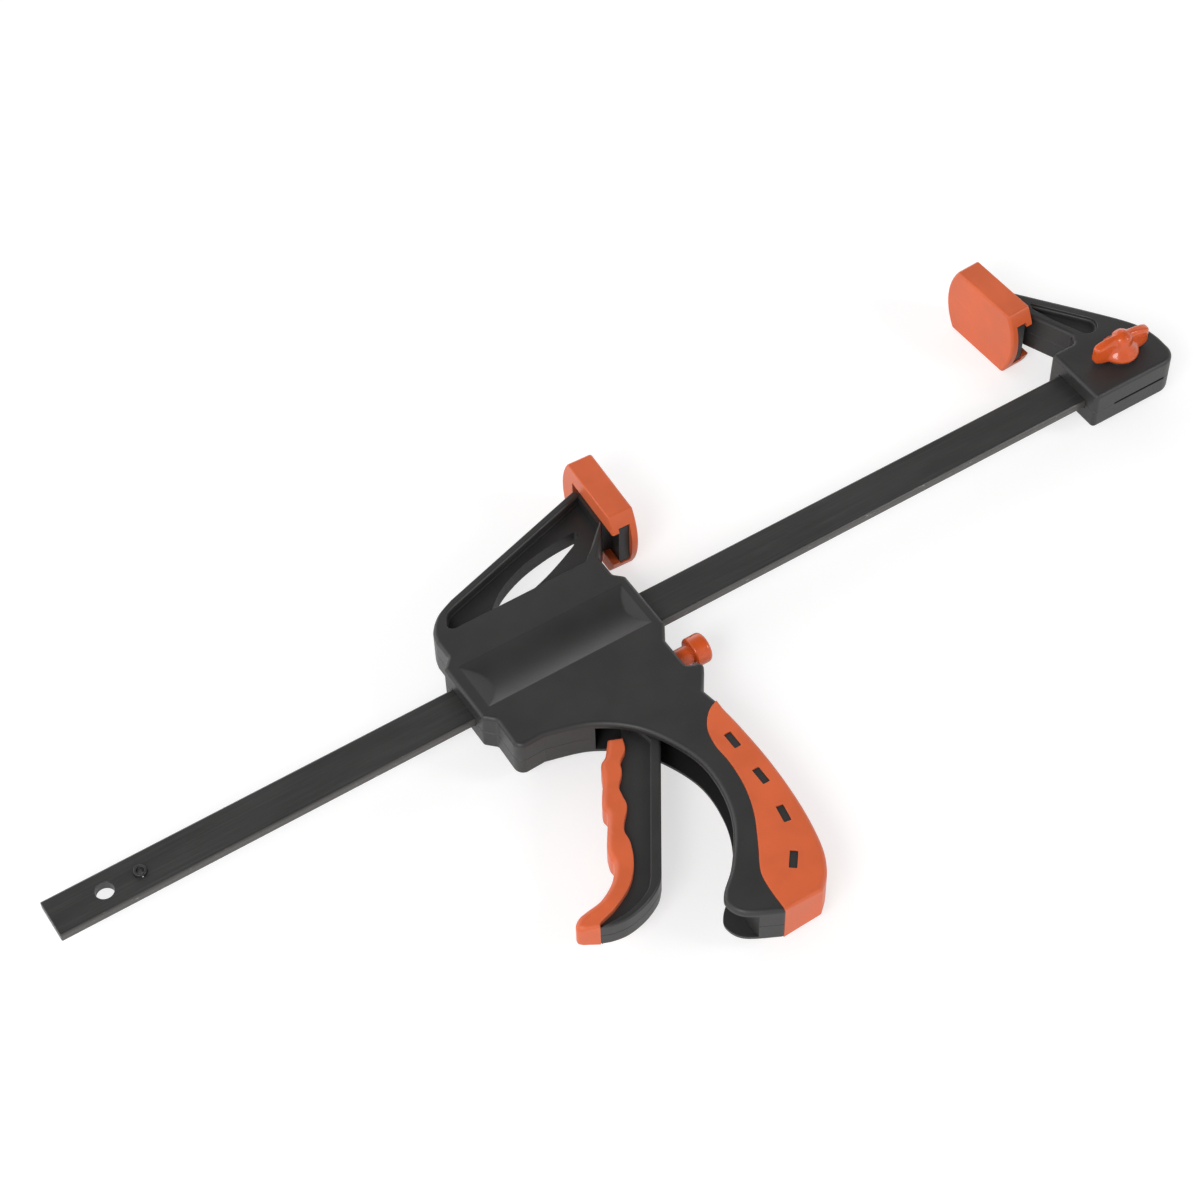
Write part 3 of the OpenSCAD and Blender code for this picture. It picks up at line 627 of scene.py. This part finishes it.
def on_both_faces(make):
    """Makes a cutter for the front face, and its mirror image for the rear face."""
    front = make()
    rear = copy_of(front, "rear")
    rear.data.transform(Matrix.Scale(-1, 4, (0, 0, 1)))
    rear.data.flip_normals()
    return [front, rear]


def hollow(outline, depth, rim=0.45, base=0.5):
    """A cutter that sinks by depth from the front face, with a soft rim and a rounded floor."""
    return slab("hollow", outline, half_t - depth, half_t + 0.02, foot=base, head=-rim, past=1.0)


def bay(x0, y0, x1, y1, half_z):
    """A square cutter, the same above and below the middle."""
    return slab("bay", rectangle(x0, y0, x1, y1), -half_z, half_z)

end_jaw = slab("end_jaw", eased(jaw_outline, 1.3), -half_t, half_t,
               foot=FILLET, head=FILLET, groove=GROOVE)
knob_local = knob_x - jaw_x
nut_pocket = slab("nut_pocket",
                  circle((knob_local, 0), NUT_ACROSS / 2 / np.cos(np.pi / 6), 6),
                  -half_t - 0.5, -half_t + NUT_DEEP)
cut(end_jaw,
    bay(-1, -bar_half_w - SEAT, BAR_IN_JAW + SEAT, bar_half_w + SEAT, bar_half_t + SEAT),
    bay(SLIT_FROM, -FOOT_Y - 1, SLIT_TO, -bar_half_w + 0.5, SLIT_HALF), nut_pocket,
    drill((knob_local, 0), SCREW_HOLE_R, -half_t, half_t),
    *on_both_faces(lambda: hollow(eased(teardrop, 0.8), JAW_HOLLOW, 0.5, 0.65)))
place(end_jaw, (jaw_x, 0, 0))
join(end_jaw, *[at_fixed_pad(block) for block in head_blocks(3, -3.0)])
deliver(end_jaw, "bar_and_fixed_jaw", "fixed_jaw", "black_plastic")

# %% [markdown]
# ## The knob
# The knob is one glossy moulding: a bell with a rounded foot, and two stout wings for finger and
# thumb. A union of two shapes would leave a hard crease where wing meets bell. Instead the
# surface is one radius as a function of angle and height: a soft maximum of the bell's radius and
# the wings' radius, which rounds that crease by itself. A flat steel washer hides under the bell.

# %% Knob and washer
knob_low, knob_high = node_box("wing_knob")
KNOB_H, KNOB_R, WING_R, WING_HALF, WING_TURN = knob_high[2] - knob_low[2] - 0.9, 5.5, 9.1, 1.7, -3.0
# Tables of (height, share of the radius, of the wings' reach, or of the wings' half width)
BELL = [(0, 0.95), (0.03, 1.0), (0.10, 1.0), (0.17, 0.97), (0.26, 0.87), (0.38, 0.72), (0.52, 0.58),
        (0.66, 0.55), (0.78, 0.52), (0.88, 0.42), (0.96, 0.25), (1.0, 0.0)]
REACH = [(0, 0.90), (0.03, 0.97), (0.08, 1.0), (0.64, 1.0), (0.72, 0.96), (0.79, 0.80),
         (0.85, 0.56), (0.90, 0.30), (1.0, 0.001)]
WIDTH = [(0, 1.0), (0.2, 1.0), (0.6, 0.92), (0.75, 0.84), (0.85, 0.62), (0.92, 0.3), (1.0, 0.001)]


def knob_surface(rows=84, points=216):
    """Radius = (bell^p + wings^p)^(1/p). A wing's radius at an angle is that of a rounded bar:
    (|cos / length|^n + |sin / half width|^n)^(-1/n), with its length set by the height."""
    h = np.sin(np.linspace(0, np.pi / 2, rows))[:, None]**0.9
    angle = np.linspace(0, 2 * np.pi, points, endpoint=False)[None, :]
    bell, reach, width = [full * np.interp(h, *np.transpose(table)) for full, table in
                          ((KNOB_R, BELL), (WING_R, REACH), (WING_HALF, WIDTH))]
    turn = angle - np.radians(WING_TURN)
    wings = (np.abs(np.cos(turn) / reach)**5 + np.abs(np.sin(turn) / width)**5)**(-1 / 5)
    radius = np.minimum((bell**8 + wings**8)**(1 / 8), WING_R)
    height = knob_low[2] + KNOB_H * np.broadcast_to(h, radius.shape)
    return np.stack([knob_x + radius * np.cos(angle), radius * np.sin(angle), height], -1)

rings = knob_surface()
for _ in range(3):                    # each pass of a 1-2-1 average rounds the last creases
    rings[1:-1] = (rings[:-2] + 2 * rings[1:-1] + rings[2:]) / 4
clamp_knob = solid("clamp_knob", rings[:-1])
deliver(clamp_knob, "knob", "wing_knob", "orange_gloss", crisp=60)

washer_low, washer_high = node_box("knob_washer")
WASHER_R, WASHER_HOLE_R = 4.6, 2.6
flat_washer = slab("flat_washer", circle((knob_x, 0), WASHER_R), washer_low[2], washer_high[2],
                   foot=0.1, head=0.1, steps=3)
cut(flat_washer, drill((knob_x, 0), WASHER_HOLE_R, washer_low[2], washer_high[2], 0.1))
deliver(flat_washer, "bar_and_fixed_jaw", "knob_washer", "bright_steel")

# %% [markdown]
# ## The sliding body: outlines
# Two half shells meet in the bar's middle plane. Together they form the arm with its window, the
# rail round the bar, the bow over the trigger and the handle. The outline is drawn once, from the
# rear end of the arm round the handle and back, so both halves match at the parting line.

# %% Outline of the body
RAIL_L, RAIL_Y, WALL_X = 56.7, bar_half_w + 3.6, 53.7
HANDLE_END = -100.4
PIVOT, STEM_R, BUTTON_Y = (38.5, -22), 2.8, -18.0     # the lever's pin, the button's stem and place
handle_front = flow([[10.5, -23.1], [21.8, -26.7], [30.6, -33.2], [36.2, -41.8], [39.6, -52.5],
                     [38.9, -63.5], [35.4, -73], [28.6, -82.2], [22.7, -87.6], [21.2, -91.2],
                     [23.6, -95.8], [31.8, HANDLE_END]])
handle_back = flow([[43.6, HANDLE_END], [47.6, -96.4], [51, -89.4], [53.6, -77], [54.8, -62],
                    [54.6, -48], [53.8, -38.3]])
grip_edge = flow([[53.8, -38.3], [50.2, -40.1], [46.9, -44.2], [45.5, -49.8], [45.6, -56.5],
                  [44.6, -64.5], [42, -72.5], [37.3, -81.2], [33.6, -87.6], [32.5, -93],
                  [32.2, HANDLE_END]])
body_outline = closed(
    [[61.5, 42.6]], flow([[13, 28.1], [7.6, 25.5], [4, 22], [2.8, 18.4]]),
    [[2.8, RAIL_Y + 2.8], [0, RAIL_Y], [0, -RAIL_Y], [2.8, -RAIL_Y - 2.8]],
    arc([5.4, -20.5], 2.8, 180, 262, 12), handle_front, handle_back,
    [[52.9, -33.6], [56.4, -28.8]], arc([56, -26.6], 1.5, -40, 100, 12),
    [[WALL_X, -24.2], [WALL_X, -RAIL_Y - 4.8], [RAIL_L, -RAIL_Y],
     [RAIL_L, RAIL_Y], [54.2, RAIL_Y + 2.4], [54.2, 18.6], [61.1, 28.1]])
print("body outline:", len(body_outline), "points")

# %% Outlines of the arm's hollow, its window and the lever's channel
ARM_BEAD, ARM_RECESS, ARM_FOOT_Y, BAY_TOP = 2.2, 3.0, 19.3, -16.6
arm_pocket = closed(
    arc([9.6, 21], 1.7, 180, 270, 8), [[50.3, ARM_FOOT_Y], [54.6, 23.4], [59.2, 27.8], [63, 31.2],
    [63, 43 - 1.04 * ARM_BEAD], [13, 28.1 - 1.04 * ARM_BEAD]],
    flow([[13, 28.1 - 1.04 * ARM_BEAD], [10, 24.4], [7.9, 21]]))
arm_window = closed(
    flow([[20.4, 19.9], [23.5, 23.3], [28.5, 26.9], [36.5, 30.2], [45.8, 32.1], [54, 32.6]]),
    arc([54.4, 31.7], 0.9, 90, -40, 8),
    flow([[52, 28.6], [46, 25.8], [38.9, 23], [31.9, 21.1], [24, 20.1], [20.4, 19.9]]))
channel = closed(
    [[23.3, -60], [23.3, -25.4], [31, BAY_TOP], [45.6, BAY_TOP]],
    flow([[45.6, -30], [45.6, -42], [46.7, -52], [46, -63], [42.6, -73.5], [35.8, -82.5],
          [28.9, -88.6], [26.4, -92.5], [26.9, HANDLE_END - 2]]),
    [[-10, HANDLE_END - 2], [-10, -60]])

# %% [markdown]
# ## The scoop along the rail
# Along the bar the shell dips in a shallow trough, with a sloping end at each side. Its depth is
# the smaller of two depths: a circle's across the bar, and a ramp's along it. A soft minimum
# rounds the ridge between them. The cutter is that sheet with a lid over it.

# %% Scoop cutter
SCOOP_DEPTH, SCOOP_HALF, RAMP_REAR, RAMP_FRONT, SHARPNESS = 1.9, 7.75, 5.4, 3.4, 24
SCOOP_X = (3.2, RAIL_L - 2.5)


def scoop_cutter(columns=97, rows=61, over=0.6):
    """Depth = softest of the trough's circle and the two end ramps: minus log of summed exps."""
    x = np.linspace(SCOOP_X[0] - over, SCOOP_X[1] + over, columns)[None, :]
    y = np.linspace(-SCOOP_HALF - over, SCOOP_HALF + over, rows)[:, None]
    radius = (SCOOP_HALF**2 + SCOOP_DEPTH**2) / (2 * SCOOP_DEPTH)
    trough = np.sqrt(radius**2 - y**2) - (radius - SCOOP_DEPTH)
    ramp = np.minimum((x - SCOOP_X[0]) / RAMP_REAR, (SCOOP_X[1] - x) / RAMP_FRONT) * SCOOP_DEPTH
    depth = -np.log(np.exp(-SHARPNESS * trough) + np.exp(-SHARPNESS * ramp)) / SHARPNESS
    sheet = np.stack([np.broadcast_to(x, depth.shape), np.broadcast_to(y, depth.shape),
                      half_t - depth], -1)
    lid = sheet.copy()
    lid[..., 2] = half_t + 3
    ring = np.concatenate([np.arange(columns), columns * np.arange(1, rows) + columns - 1,
                           columns * rows - 1 - np.arange(1, columns),
                           columns * np.arange(rows - 2, 0, -1)])
    index = np.arange(rows * columns).reshape(rows, columns)
    quads = np.stack([index[:-1, :-1], index[1:, :-1], index[1:, 1:], index[:-1, 1:]], -1)
    top = rows * columns + np.arange(len(ring))
    rim = np.stack([ring, np.roll(ring, -1), np.roll(top, -1), top], -1)
    points = np.vstack([sheet.reshape(-1, 3), lid.reshape(-1, 3)[ring]]) * MM
    mesh = bpy.data.meshes.new("scoop")
    faces = quads.reshape(-1, 4).tolist() + rim.tolist() + [top.tolist()]
    mesh.from_pydata(points.tolist(), [], faces)
    piece = bpy.data.objects.new("scoop", mesh)
    bpy.context.scene.collection.objects.link(piece)
    return piece

# %% [markdown]
# ## The grip's seat
# The orange rubber wraps the outer half of the handle: over both faces and round the edge. The
# shells keep a core under it, and four small bosses that fill the windows in the rubber. So the
# seat's cutter is the grip's area less that core and those bosses.

# %% Grip, core and windows
grip_area = closed(handle_back, grip_edge)
GRIP_SKIN, GRIP_WRAP, WINDOW_W, WINDOW_L = 1.6, 2.6, 2.1, 5.2
WINDOWS = [(50.2, -51, 0), (50, -64.1, 0), (48.2, -76.7, -10), (42.4, -89.3, -38)]


def core():
    """The part of the grip's area that the shells fill, below the skin of rubber."""
    return slab("core", grip_area + [-GRIP_WRAP, 0.55 * GRIP_WRAP],
                -half_t + GRIP_SKIN, half_t - GRIP_SKIN)


def window_blocks(gap, half_z, rim=0.0):
    """Four upright blocks where the windows are, each turned to follow the handle."""
    blocks = []
    for x, y, turn in WINDOWS:
        w, l = WINDOW_W / 2 + gap, WINDOW_L / 2 + gap
        outline = eased(rectangle(-w, -l, w, l), 0.3, 22, 3)
        block = slab("window", outline, -half_z, half_z, foot=rim, head=rim, past=1.0 * (rim < 0),
                     steps=3)
        blocks.append(place(block, (x, y, 0), turn))
    return blocks


def soft_edge(outline, free, hidden, blend=3.0):
    """One fillet radius for each point: `hidden` on the grip's inner edge, growing to `free` over
    the blend's distance from it."""
    gap = np.linalg.norm(outline[:, None] - grip_edge[None], axis=2).min(axis=1)
    return np.clip(hidden + (free - hidden) * gap / blend, hidden, free)

# %% [markdown]
# ## The two shells
# The outer form comes first. Then every hollow is cut with its own rim: the grip's seat, the arm's
# hollow and window, the lever's channel, the scoop, and the chambers of plates and springs. Both
# halves are parted from this one block, so their edges meet all along the parting line.

# %% Block of the two shells
CHAMBER_HALF, SHELL_WALL, SLIDE_FIT = 3.6, 1.9, 0.15
# Drive spring and plate, the lever's nose, the brake plate, and the brake spring
CHAMBERS = [(13, -14.6, 34.4, 9.4), (30, -22, 38.6, -7.8), (39.8, -22, 51.7, 8.4),
            (41.6, 0, 46.7, 9.7)]


def shell_block():
    """Everything that both half shells share, before they are parted."""
    outline = eased(body_outline, 1.3)
    edge = FILLET - 0.85 * np.clip((outline[:, 1] - 22) / 4, 0, 1)
    block = slab("block", outline, -half_t, half_t, foot=edge, head=edge, groove=GROOVE)
    seat = slab("seat", grip_area, -half_t - 0.02, half_t + 0.02, foot=-0.3, head=-0.3, past=1.0)
    cut(seat, core(), *window_blocks(-0.06, half_t - 0.4))
    bay_z, bar_y, bar_z = half_t - SHELL_WALL, bar_half_w + SLIDE_FIT, bar_half_t + SLIDE_FIT
    lever_bay = slab("lever_bay", channel, -bay_z, bay_z)
    button_way = place(slab("button_way", circle((BUTTON_Y, 0), STEM_R + SLIDE_FIT), 51, 55),
                       across=True)
    floor_z = half_t - ARM_RECESS
    window = slab("window", arm_window, -floor_z, floor_z, foot=-0.55, head=-0.55, past=4.0)
    pocket = eased(arm_pocket, 1.0)
    above = np.clip((pocket[:, 1] - ARM_FOOT_Y - 0.5) / 2.5, 0, 1)
    hollows = on_both_faces(lambda: hollow(pocket, ARM_RECESS, 0.25 + 0.6 * above, 0.1))
    cut(block, seat, window, lever_bay, button_way, *hollows, *on_both_faces(scoop_cutter),
        bay(-1, -bar_y, RAIL_L + 1, bar_y, bar_z), *[bay(*c, CHAMBER_HALF) for c in CHAMBERS],
        slab("pin_seat", circle(PIVOT, 2.02), -half_t + 0.7, half_t - 0.7))
    place(block, (body_x, 0, 0))
    return join(block, *[at_moving_pad(part) for part in head_blocks(5, -1.0)])

# %% The two shells, parted and drilled
SCREWS = [(9, 14.6), (48, 14.6), (9, -17.4), (49.6, -32), (29.5, -95.4)]
SCREW_HEAD_R, SCREW_R, HEAD_DEEP = 2.3, 1.25, 2.4


def half_space(low, high):
    """A block that keeps one half of the body."""
    return place(slab("half", rectangle(-20, -120, 100, 80), low, high), (body_x, 0, 0))

front_shell = shell_block()
rear_shell = copy_of(front_shell, "rear_shell")
front_shell.name = "front_shell"
combine(front_shell, [half_space(0, 20)], "INTERSECT")
combine(rear_shell, [half_space(-20, 0)], "INTERSECT")
screw_ways = []
for x, y in SCREWS:
    at = (body_x + x, y)
    screw_ways.append(drill(at, SCREW_HEAD_R + SLIDE_FIT, -half_t, -half_t + HEAD_DEEP))
    screw_ways.append(slab("screw_way", circle(at, SCREW_R + SLIDE_FIT), -half_t, 1))
cut(rear_shell, *screw_ways)
deliver(front_shell, "sliding_body", "housing_front", "black_plastic")
deliver(rear_shell, "sliding_body", "housing_back", "black_plastic")

# %% [markdown]
# ## The rubber grip
# The rubber fills its seat flush with the shells. It is the seat's outline again, less the core and
# the four windows. Its free edge has a full fillet, and its inner edge only a slight one, so that the
# joint between the two plastics stays a fine line.

# %% Grip
outline = eased(grip_area, 1.5, 30)
edge = soft_edge(outline, 1.5, 0.3)
rubber_grip = slab("rubber_grip", outline, -half_t, half_t, foot=edge, head=edge)
cut(rubber_grip, core(), *window_blocks(0.0, half_t + 0.02, -0.2))
place(rubber_grip, (body_x, 0, 0))
deliver(rubber_grip, "sliding_body", "handle_grip", "orange_rubber")

# %% [markdown]
# ## The trigger
# The lever is a flat web inside a raised border, which stiffens it like a channel beam. A second
# moulding of orange rubber follows three finger waves down its front and curls round the toe.
# Both outlines share one curve, the boundary between them.

# %% Trigger outlines
TOE_TIP = [-7.6, -78.4]
finger_line = flow([[27.8, -33.6], [26.4, -37], [23.3, -39.6], [21.8, -42.6], [18.9, -45.8],
                    [18.1, -48.6], [17.3, -52], [14, -55.8], [12.6, -58.2], [12.1, -61.6],
                    [9.6, -67], [5.2, -72], [-1.2, -75.5], [-5.4, -76.8], [-7, -77.4], TOE_TIP])
finger_front = flow([[24.4, -31.7], [21.2, -35.6], [18.9, -37.2], [16.6, -41.6], [13.8, -45.6],
                     [12.1, -48.6], [11.9, -51.2], [8.9, -55.7], [6.6, -59.2], [5.5, -62.2],
                     [5.2, -64.6], [2, -68.6], [-3, -71.5], [-7.6, -72.3], [-10.2, -72.8],
                     [-12, -74], [-12.6, -75.4], [-11.9, -76.4]])
toe_curve = flow([[13.4, -73.8], [10.6, -76.6], [5.6, -79], [0, -80.1], [-4.4, -79.6], TOE_TIP])
lever_outline = closed(arc(PIVOT, 5, -15, 190, 24), finger_line, toe_curve[::-1], [[35.6, -39.7]])
grip_outline = closed(finger_front, finger_line[::-1])
LEVER_HALF, LEVER_RIM, LEVER_SINK = 4.2, 2.6, 0.7
rim_in = LEVER_RIM * np.array([-0.84, 0.55])
web = closed([[31.6, -29.4]], np.array([35.6, -39.7]) + rim_in, np.array([13.4, -73.8]) + rim_in,
             flow([[11.2, -72.4], [8.6, -75.4], [4.6, -77.4], [0, -78.5], [-8, -78.5]], 5)[1:],
             [[-12, -74], [-2, -66], [18, -38], [24, -31]])


def beside_grip(outline, free, hidden, reach=0.4):
    """One fillet radius for each point: `hidden` along the finger line, `free` elsewhere."""
    gap = np.linalg.norm(outline[:, None] - finger_line[None], axis=2).min(axis=1)
    return np.where(gap < reach, hidden, free)

# %% Lever and finger grip
outline = eased(lever_outline, 1.2)
edge = beside_grip(outline, 0.8, 0.12)
lever = slab("lever", outline, -LEVER_HALF, LEVER_HALF, foot=edge, head=edge, groove=GROOVE)
web_cutter = slab("web", eased(web, 1.0), LEVER_HALF - LEVER_SINK, LEVER_HALF + 0.02,
                  foot=0.2, head=-0.25, past=1.0)
cut(lever, *on_both_faces(lambda: copy_of(web_cutter, "web_face")))
bpy.data.objects.remove(web_cutter)
nose_outline = closed([[38.2, PIVOT[1] + 3], [37.3, -11.4]],
                      arc([35, -10.5], 2.4, -20, 180, 16), [[34, PIVOT[1] + 1]])
nose = slab("nose", nose_outline, -3.2, 3.2, foot=0.4, head=0.4)
join(lever, nose)
cut(lever, drill(PIVOT, 2.05, -LEVER_HALF, LEVER_HALF))
place(lever, (body_x, 0, 0))
deliver(lever, "trigger", "trigger_lever", "black_plastic")

outline = eased(grip_outline, 1.6, 30)
edge = beside_grip(outline, 1.7, 0.35)
proud = LEVER_HALF + 0.1
finger_grip = slab("finger_grip", outline, -proud, proud, foot=edge, head=edge)
place(finger_grip, (body_x, 0, 0))
deliver(finger_grip, "trigger", "trigger_grip", "orange_rubber")

# %% [markdown]
# ## The release button
# A turned form: a stem through the wall of the body, and a thick round head for the thumb. Its
# profile is a short list of radii along its axis, and the surface is that profile carried round a
# full turn.

# %% Release button
def turned(name, profile, points=64):
    """A profile of (distance along the axis, radius) turned about X, as rings of
    radius * (cos, sin)."""
    angle = np.linspace(0, 2 * np.pi, points, endpoint=False)
    along, radius = np.asarray(profile, float).T
    rings = np.stack([np.broadcast_to(along[:, None], (len(along), points)),
                      radius[:, None] * np.cos(angle), radius[:, None] * np.sin(angle)], -1)
    return solid(name, rings)

button_low, button_high = node_box("release_button")
HEAD_R, HEAD_L, COLLAR_X = 4.3, 5.0, 51.6
head_from = button_high[0] - body_x - HEAD_L - 0.3
profile = np.vstack([
    [[button_low[0] - body_x, 0.02], [button_low[0] - body_x + 0.3, STEM_R - 0.6],
     [button_low[0] - body_x + 0.9, STEM_R], [button_low[0] - body_x + 0.9, STEM_R + 0.5],
     [COLLAR_X, STEM_R + 0.5], [COLLAR_X, STEM_R], [head_from, STEM_R]],
    arc([head_from + 0.6, HEAD_R - 0.6], 0.6, 180, 90, 6),
    arc([head_from + HEAD_L - 1.2, HEAD_R - 1.2], 1.2, 90, 8, 10),
    [[head_from + HEAD_L + 0.2, HEAD_R * 0.55], [head_from + HEAD_L + 0.3, 0.02]]])
thumb_button = place(turned("thumb_button", profile), (body_x, BUTTON_Y, 0))
deliver(thumb_button, "button", "release_button", "orange_gloss", crisp=50)

# %% [markdown]
# ## Small steel parts
# The screws, nut, lever pin, plates and springs keep their own nodes, because their shapes are
# right as they stand. They only need a finish.

# %% Finish the carried-over nodes
for part in frame["record"]["subparts"]:
    node = frame["nodes"][part["node"]]
    node.data.materials.clear()
    node.data.materials.append(finishes[part["material_slot"]])

# %% [markdown]
# ## Studio
# The tool lies on a pale sheet under two soft lamps and a sky that is bright beyond the tool and
# dark overhead. Those two levels give every dark slope its own grey. The sheet is white for the
# camera and a little darker in reflections, and it keeps the soft shadow.

# %% Floor
low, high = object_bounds()
floor_mesh = bpy.data.meshes.new("floor")
FLOOR_HALF = 3.0
corners = rectangle(-FLOOR_HALF, -FLOOR_HALF, FLOOR_HALF, FLOOR_HALF)
floor_mesh.from_pydata([(x, y, low.z) for x, y in corners], [], [[0, 1, 2, 3]])
floor = bpy.data.objects.new("floor", floor_mesh)
bpy.context.scene.collection.objects.link(floor)

sheet = bpy.data.materials.new("pale_sheet")
sheet.use_nodes = True
tree = sheet.node_tree
surface = tree.nodes["Principled BSDF"]
surface.inputs["Roughness"].default_value = 0.9
surface.inputs["Emission Color"].default_value = (1, 1, 1, 1)
path = tree.nodes.new("ShaderNodeLightPath")


def weighed(start, *shares):
    """Start plus each ray kind's share, where a ray of that kind asks."""
    total = start
    for kind, share in shares:
        step = tree.nodes.new("ShaderNodeMath")
        step.operation = "MULTIPLY_ADD"
        tree.links.new(path.outputs[kind], step.inputs[0])
        step.inputs[1].default_value = share
        if isinstance(total, float):
            step.inputs[2].default_value = total
        else:
            tree.links.new(total, step.inputs[2])
        total = step.outputs[0]
    return total

tree.links.new(weighed(0.86, ("Is Camera Ray", -0.36)), surface.inputs["Base Color"])
tree.links.new(weighed(0.0, ("Is Camera Ray", 0.60), ("Is Transmission Ray", 0.60),
                       ("Is Glossy Ray", 0.30)), surface.inputs["Emission Strength"])
floor_mesh.materials.append(sheet)

# %% World and lamps
HORIZON_FAR, HORIZON_NEAR, OVERHEAD, SKY_LEAN = 2.2, 1.0, 0.14, 0.2
world = bpy.data.worlds.new("studio")
bpy.context.scene.world = world
world.use_nodes = True
tree = world.node_tree
direction = tree.nodes.new("ShaderNodeTexCoord").outputs["Generated"]
height = tree.nodes.new("ShaderNodeSeparateXYZ")
tree.links.new(direction, height.inputs[0])
sky = tree.nodes.new("ShaderNodeMapRange")
sky.interpolation_type = "SMOOTHSTEP"
sky.inputs["From Min"].default_value, sky.inputs["From Max"].default_value = 0.05, 1.0
sky.inputs["To Max"].default_value = OVERHEAD
lean = tree.nodes.new("ShaderNodeMath")
lean.operation = "MULTIPLY_ADD"
tree.links.new(height.outputs["X"], lean.inputs[0])
lean.inputs[1].default_value = SKY_LEAN
tree.links.new(height.outputs["Z"], lean.inputs[2])
tree.links.new(lean.outputs[0], sky.inputs["Value"])
rim = tree.nodes.new("ShaderNodeMapRange")
rim.inputs["From Min"].default_value, rim.inputs["From Max"].default_value = -0.3, 0.8
rim.inputs["To Min"].default_value, rim.inputs["To Max"].default_value = HORIZON_NEAR, HORIZON_FAR
tree.links.new(height.outputs["Y"], rim.inputs["Value"])
tree.links.new(rim.outputs[0], sky.inputs["To Min"])
tree.links.new(sky.outputs[0], tree.nodes["Background"].inputs["Strength"])
tree.nodes["Background"].inputs["Color"].default_value = (1, 1, 1, 1)


def soft_lamp(name, at, aim, size, watts):
    """A square area lamp that faces its aim."""
    data = bpy.data.lights.new(name, "AREA")
    data.size, data.energy = size, watts
    lamp = bpy.data.objects.new(name, data)
    lamp.location = at
    lamp.rotation_euler = (Vector(aim) - Vector(at)).to_track_quat("-Z", "Y").to_euler()
    bpy.context.scene.collection.objects.link(lamp)
    return lamp

middle = (low + high) / 2
soft_lamp("key", (middle.x - 0.85, middle.y - 0.55, 0.95), middle, 0.5, 7.5)
soft_lamp("fill", (middle.x + 0.75, middle.y - 0.75, 0.7), middle, 0.35, 3.5)
print("lamps aim at", [round(v / MM) for v in middle])

# %% [markdown]
# ## Camera
# The view is the photograph's: from the left of the handle, a little over fifty degrees above the
# floor, with a portrait lens. Its place and its three axes come from the heading, the elevation
# and a roll of under two degrees.

# %% Camera
HEADING, ELEVATION, ROLL = -31.168, 51.753, -1.829
CAMERA_AT = Vector((-88.3, -389.33, 592.74)) * MM
a, e, r = np.radians([HEADING, ELEVATION, ROLL])
right = np.array([np.cos(a), np.sin(a), 0])
ahead = np.array([-np.sin(a) * np.cos(e), np.cos(a) * np.cos(e), -np.sin(e)])
upward = np.cross(right, ahead)
right, upward = right * np.cos(r) + upward * np.sin(r), upward * np.cos(r) - right * np.sin(r)
lens = bpy.data.cameras.new("portrait")
lens.sensor_width, lens.lens = 36.0, 84.0
lens.clip_start, lens.clip_end = 0.05, 20
camera = bpy.data.objects.new("portrait", lens)
axes = Matrix(np.column_stack([right, upward, -ahead]).tolist()).to_4x4()
camera.matrix_world = Matrix.Translation(CAMERA_AT) @ axes
bpy.context.scene.collection.objects.link(camera)
bpy.context.scene.camera = camera
bpy.context.scene.view_settings.view_transform = "Standard"
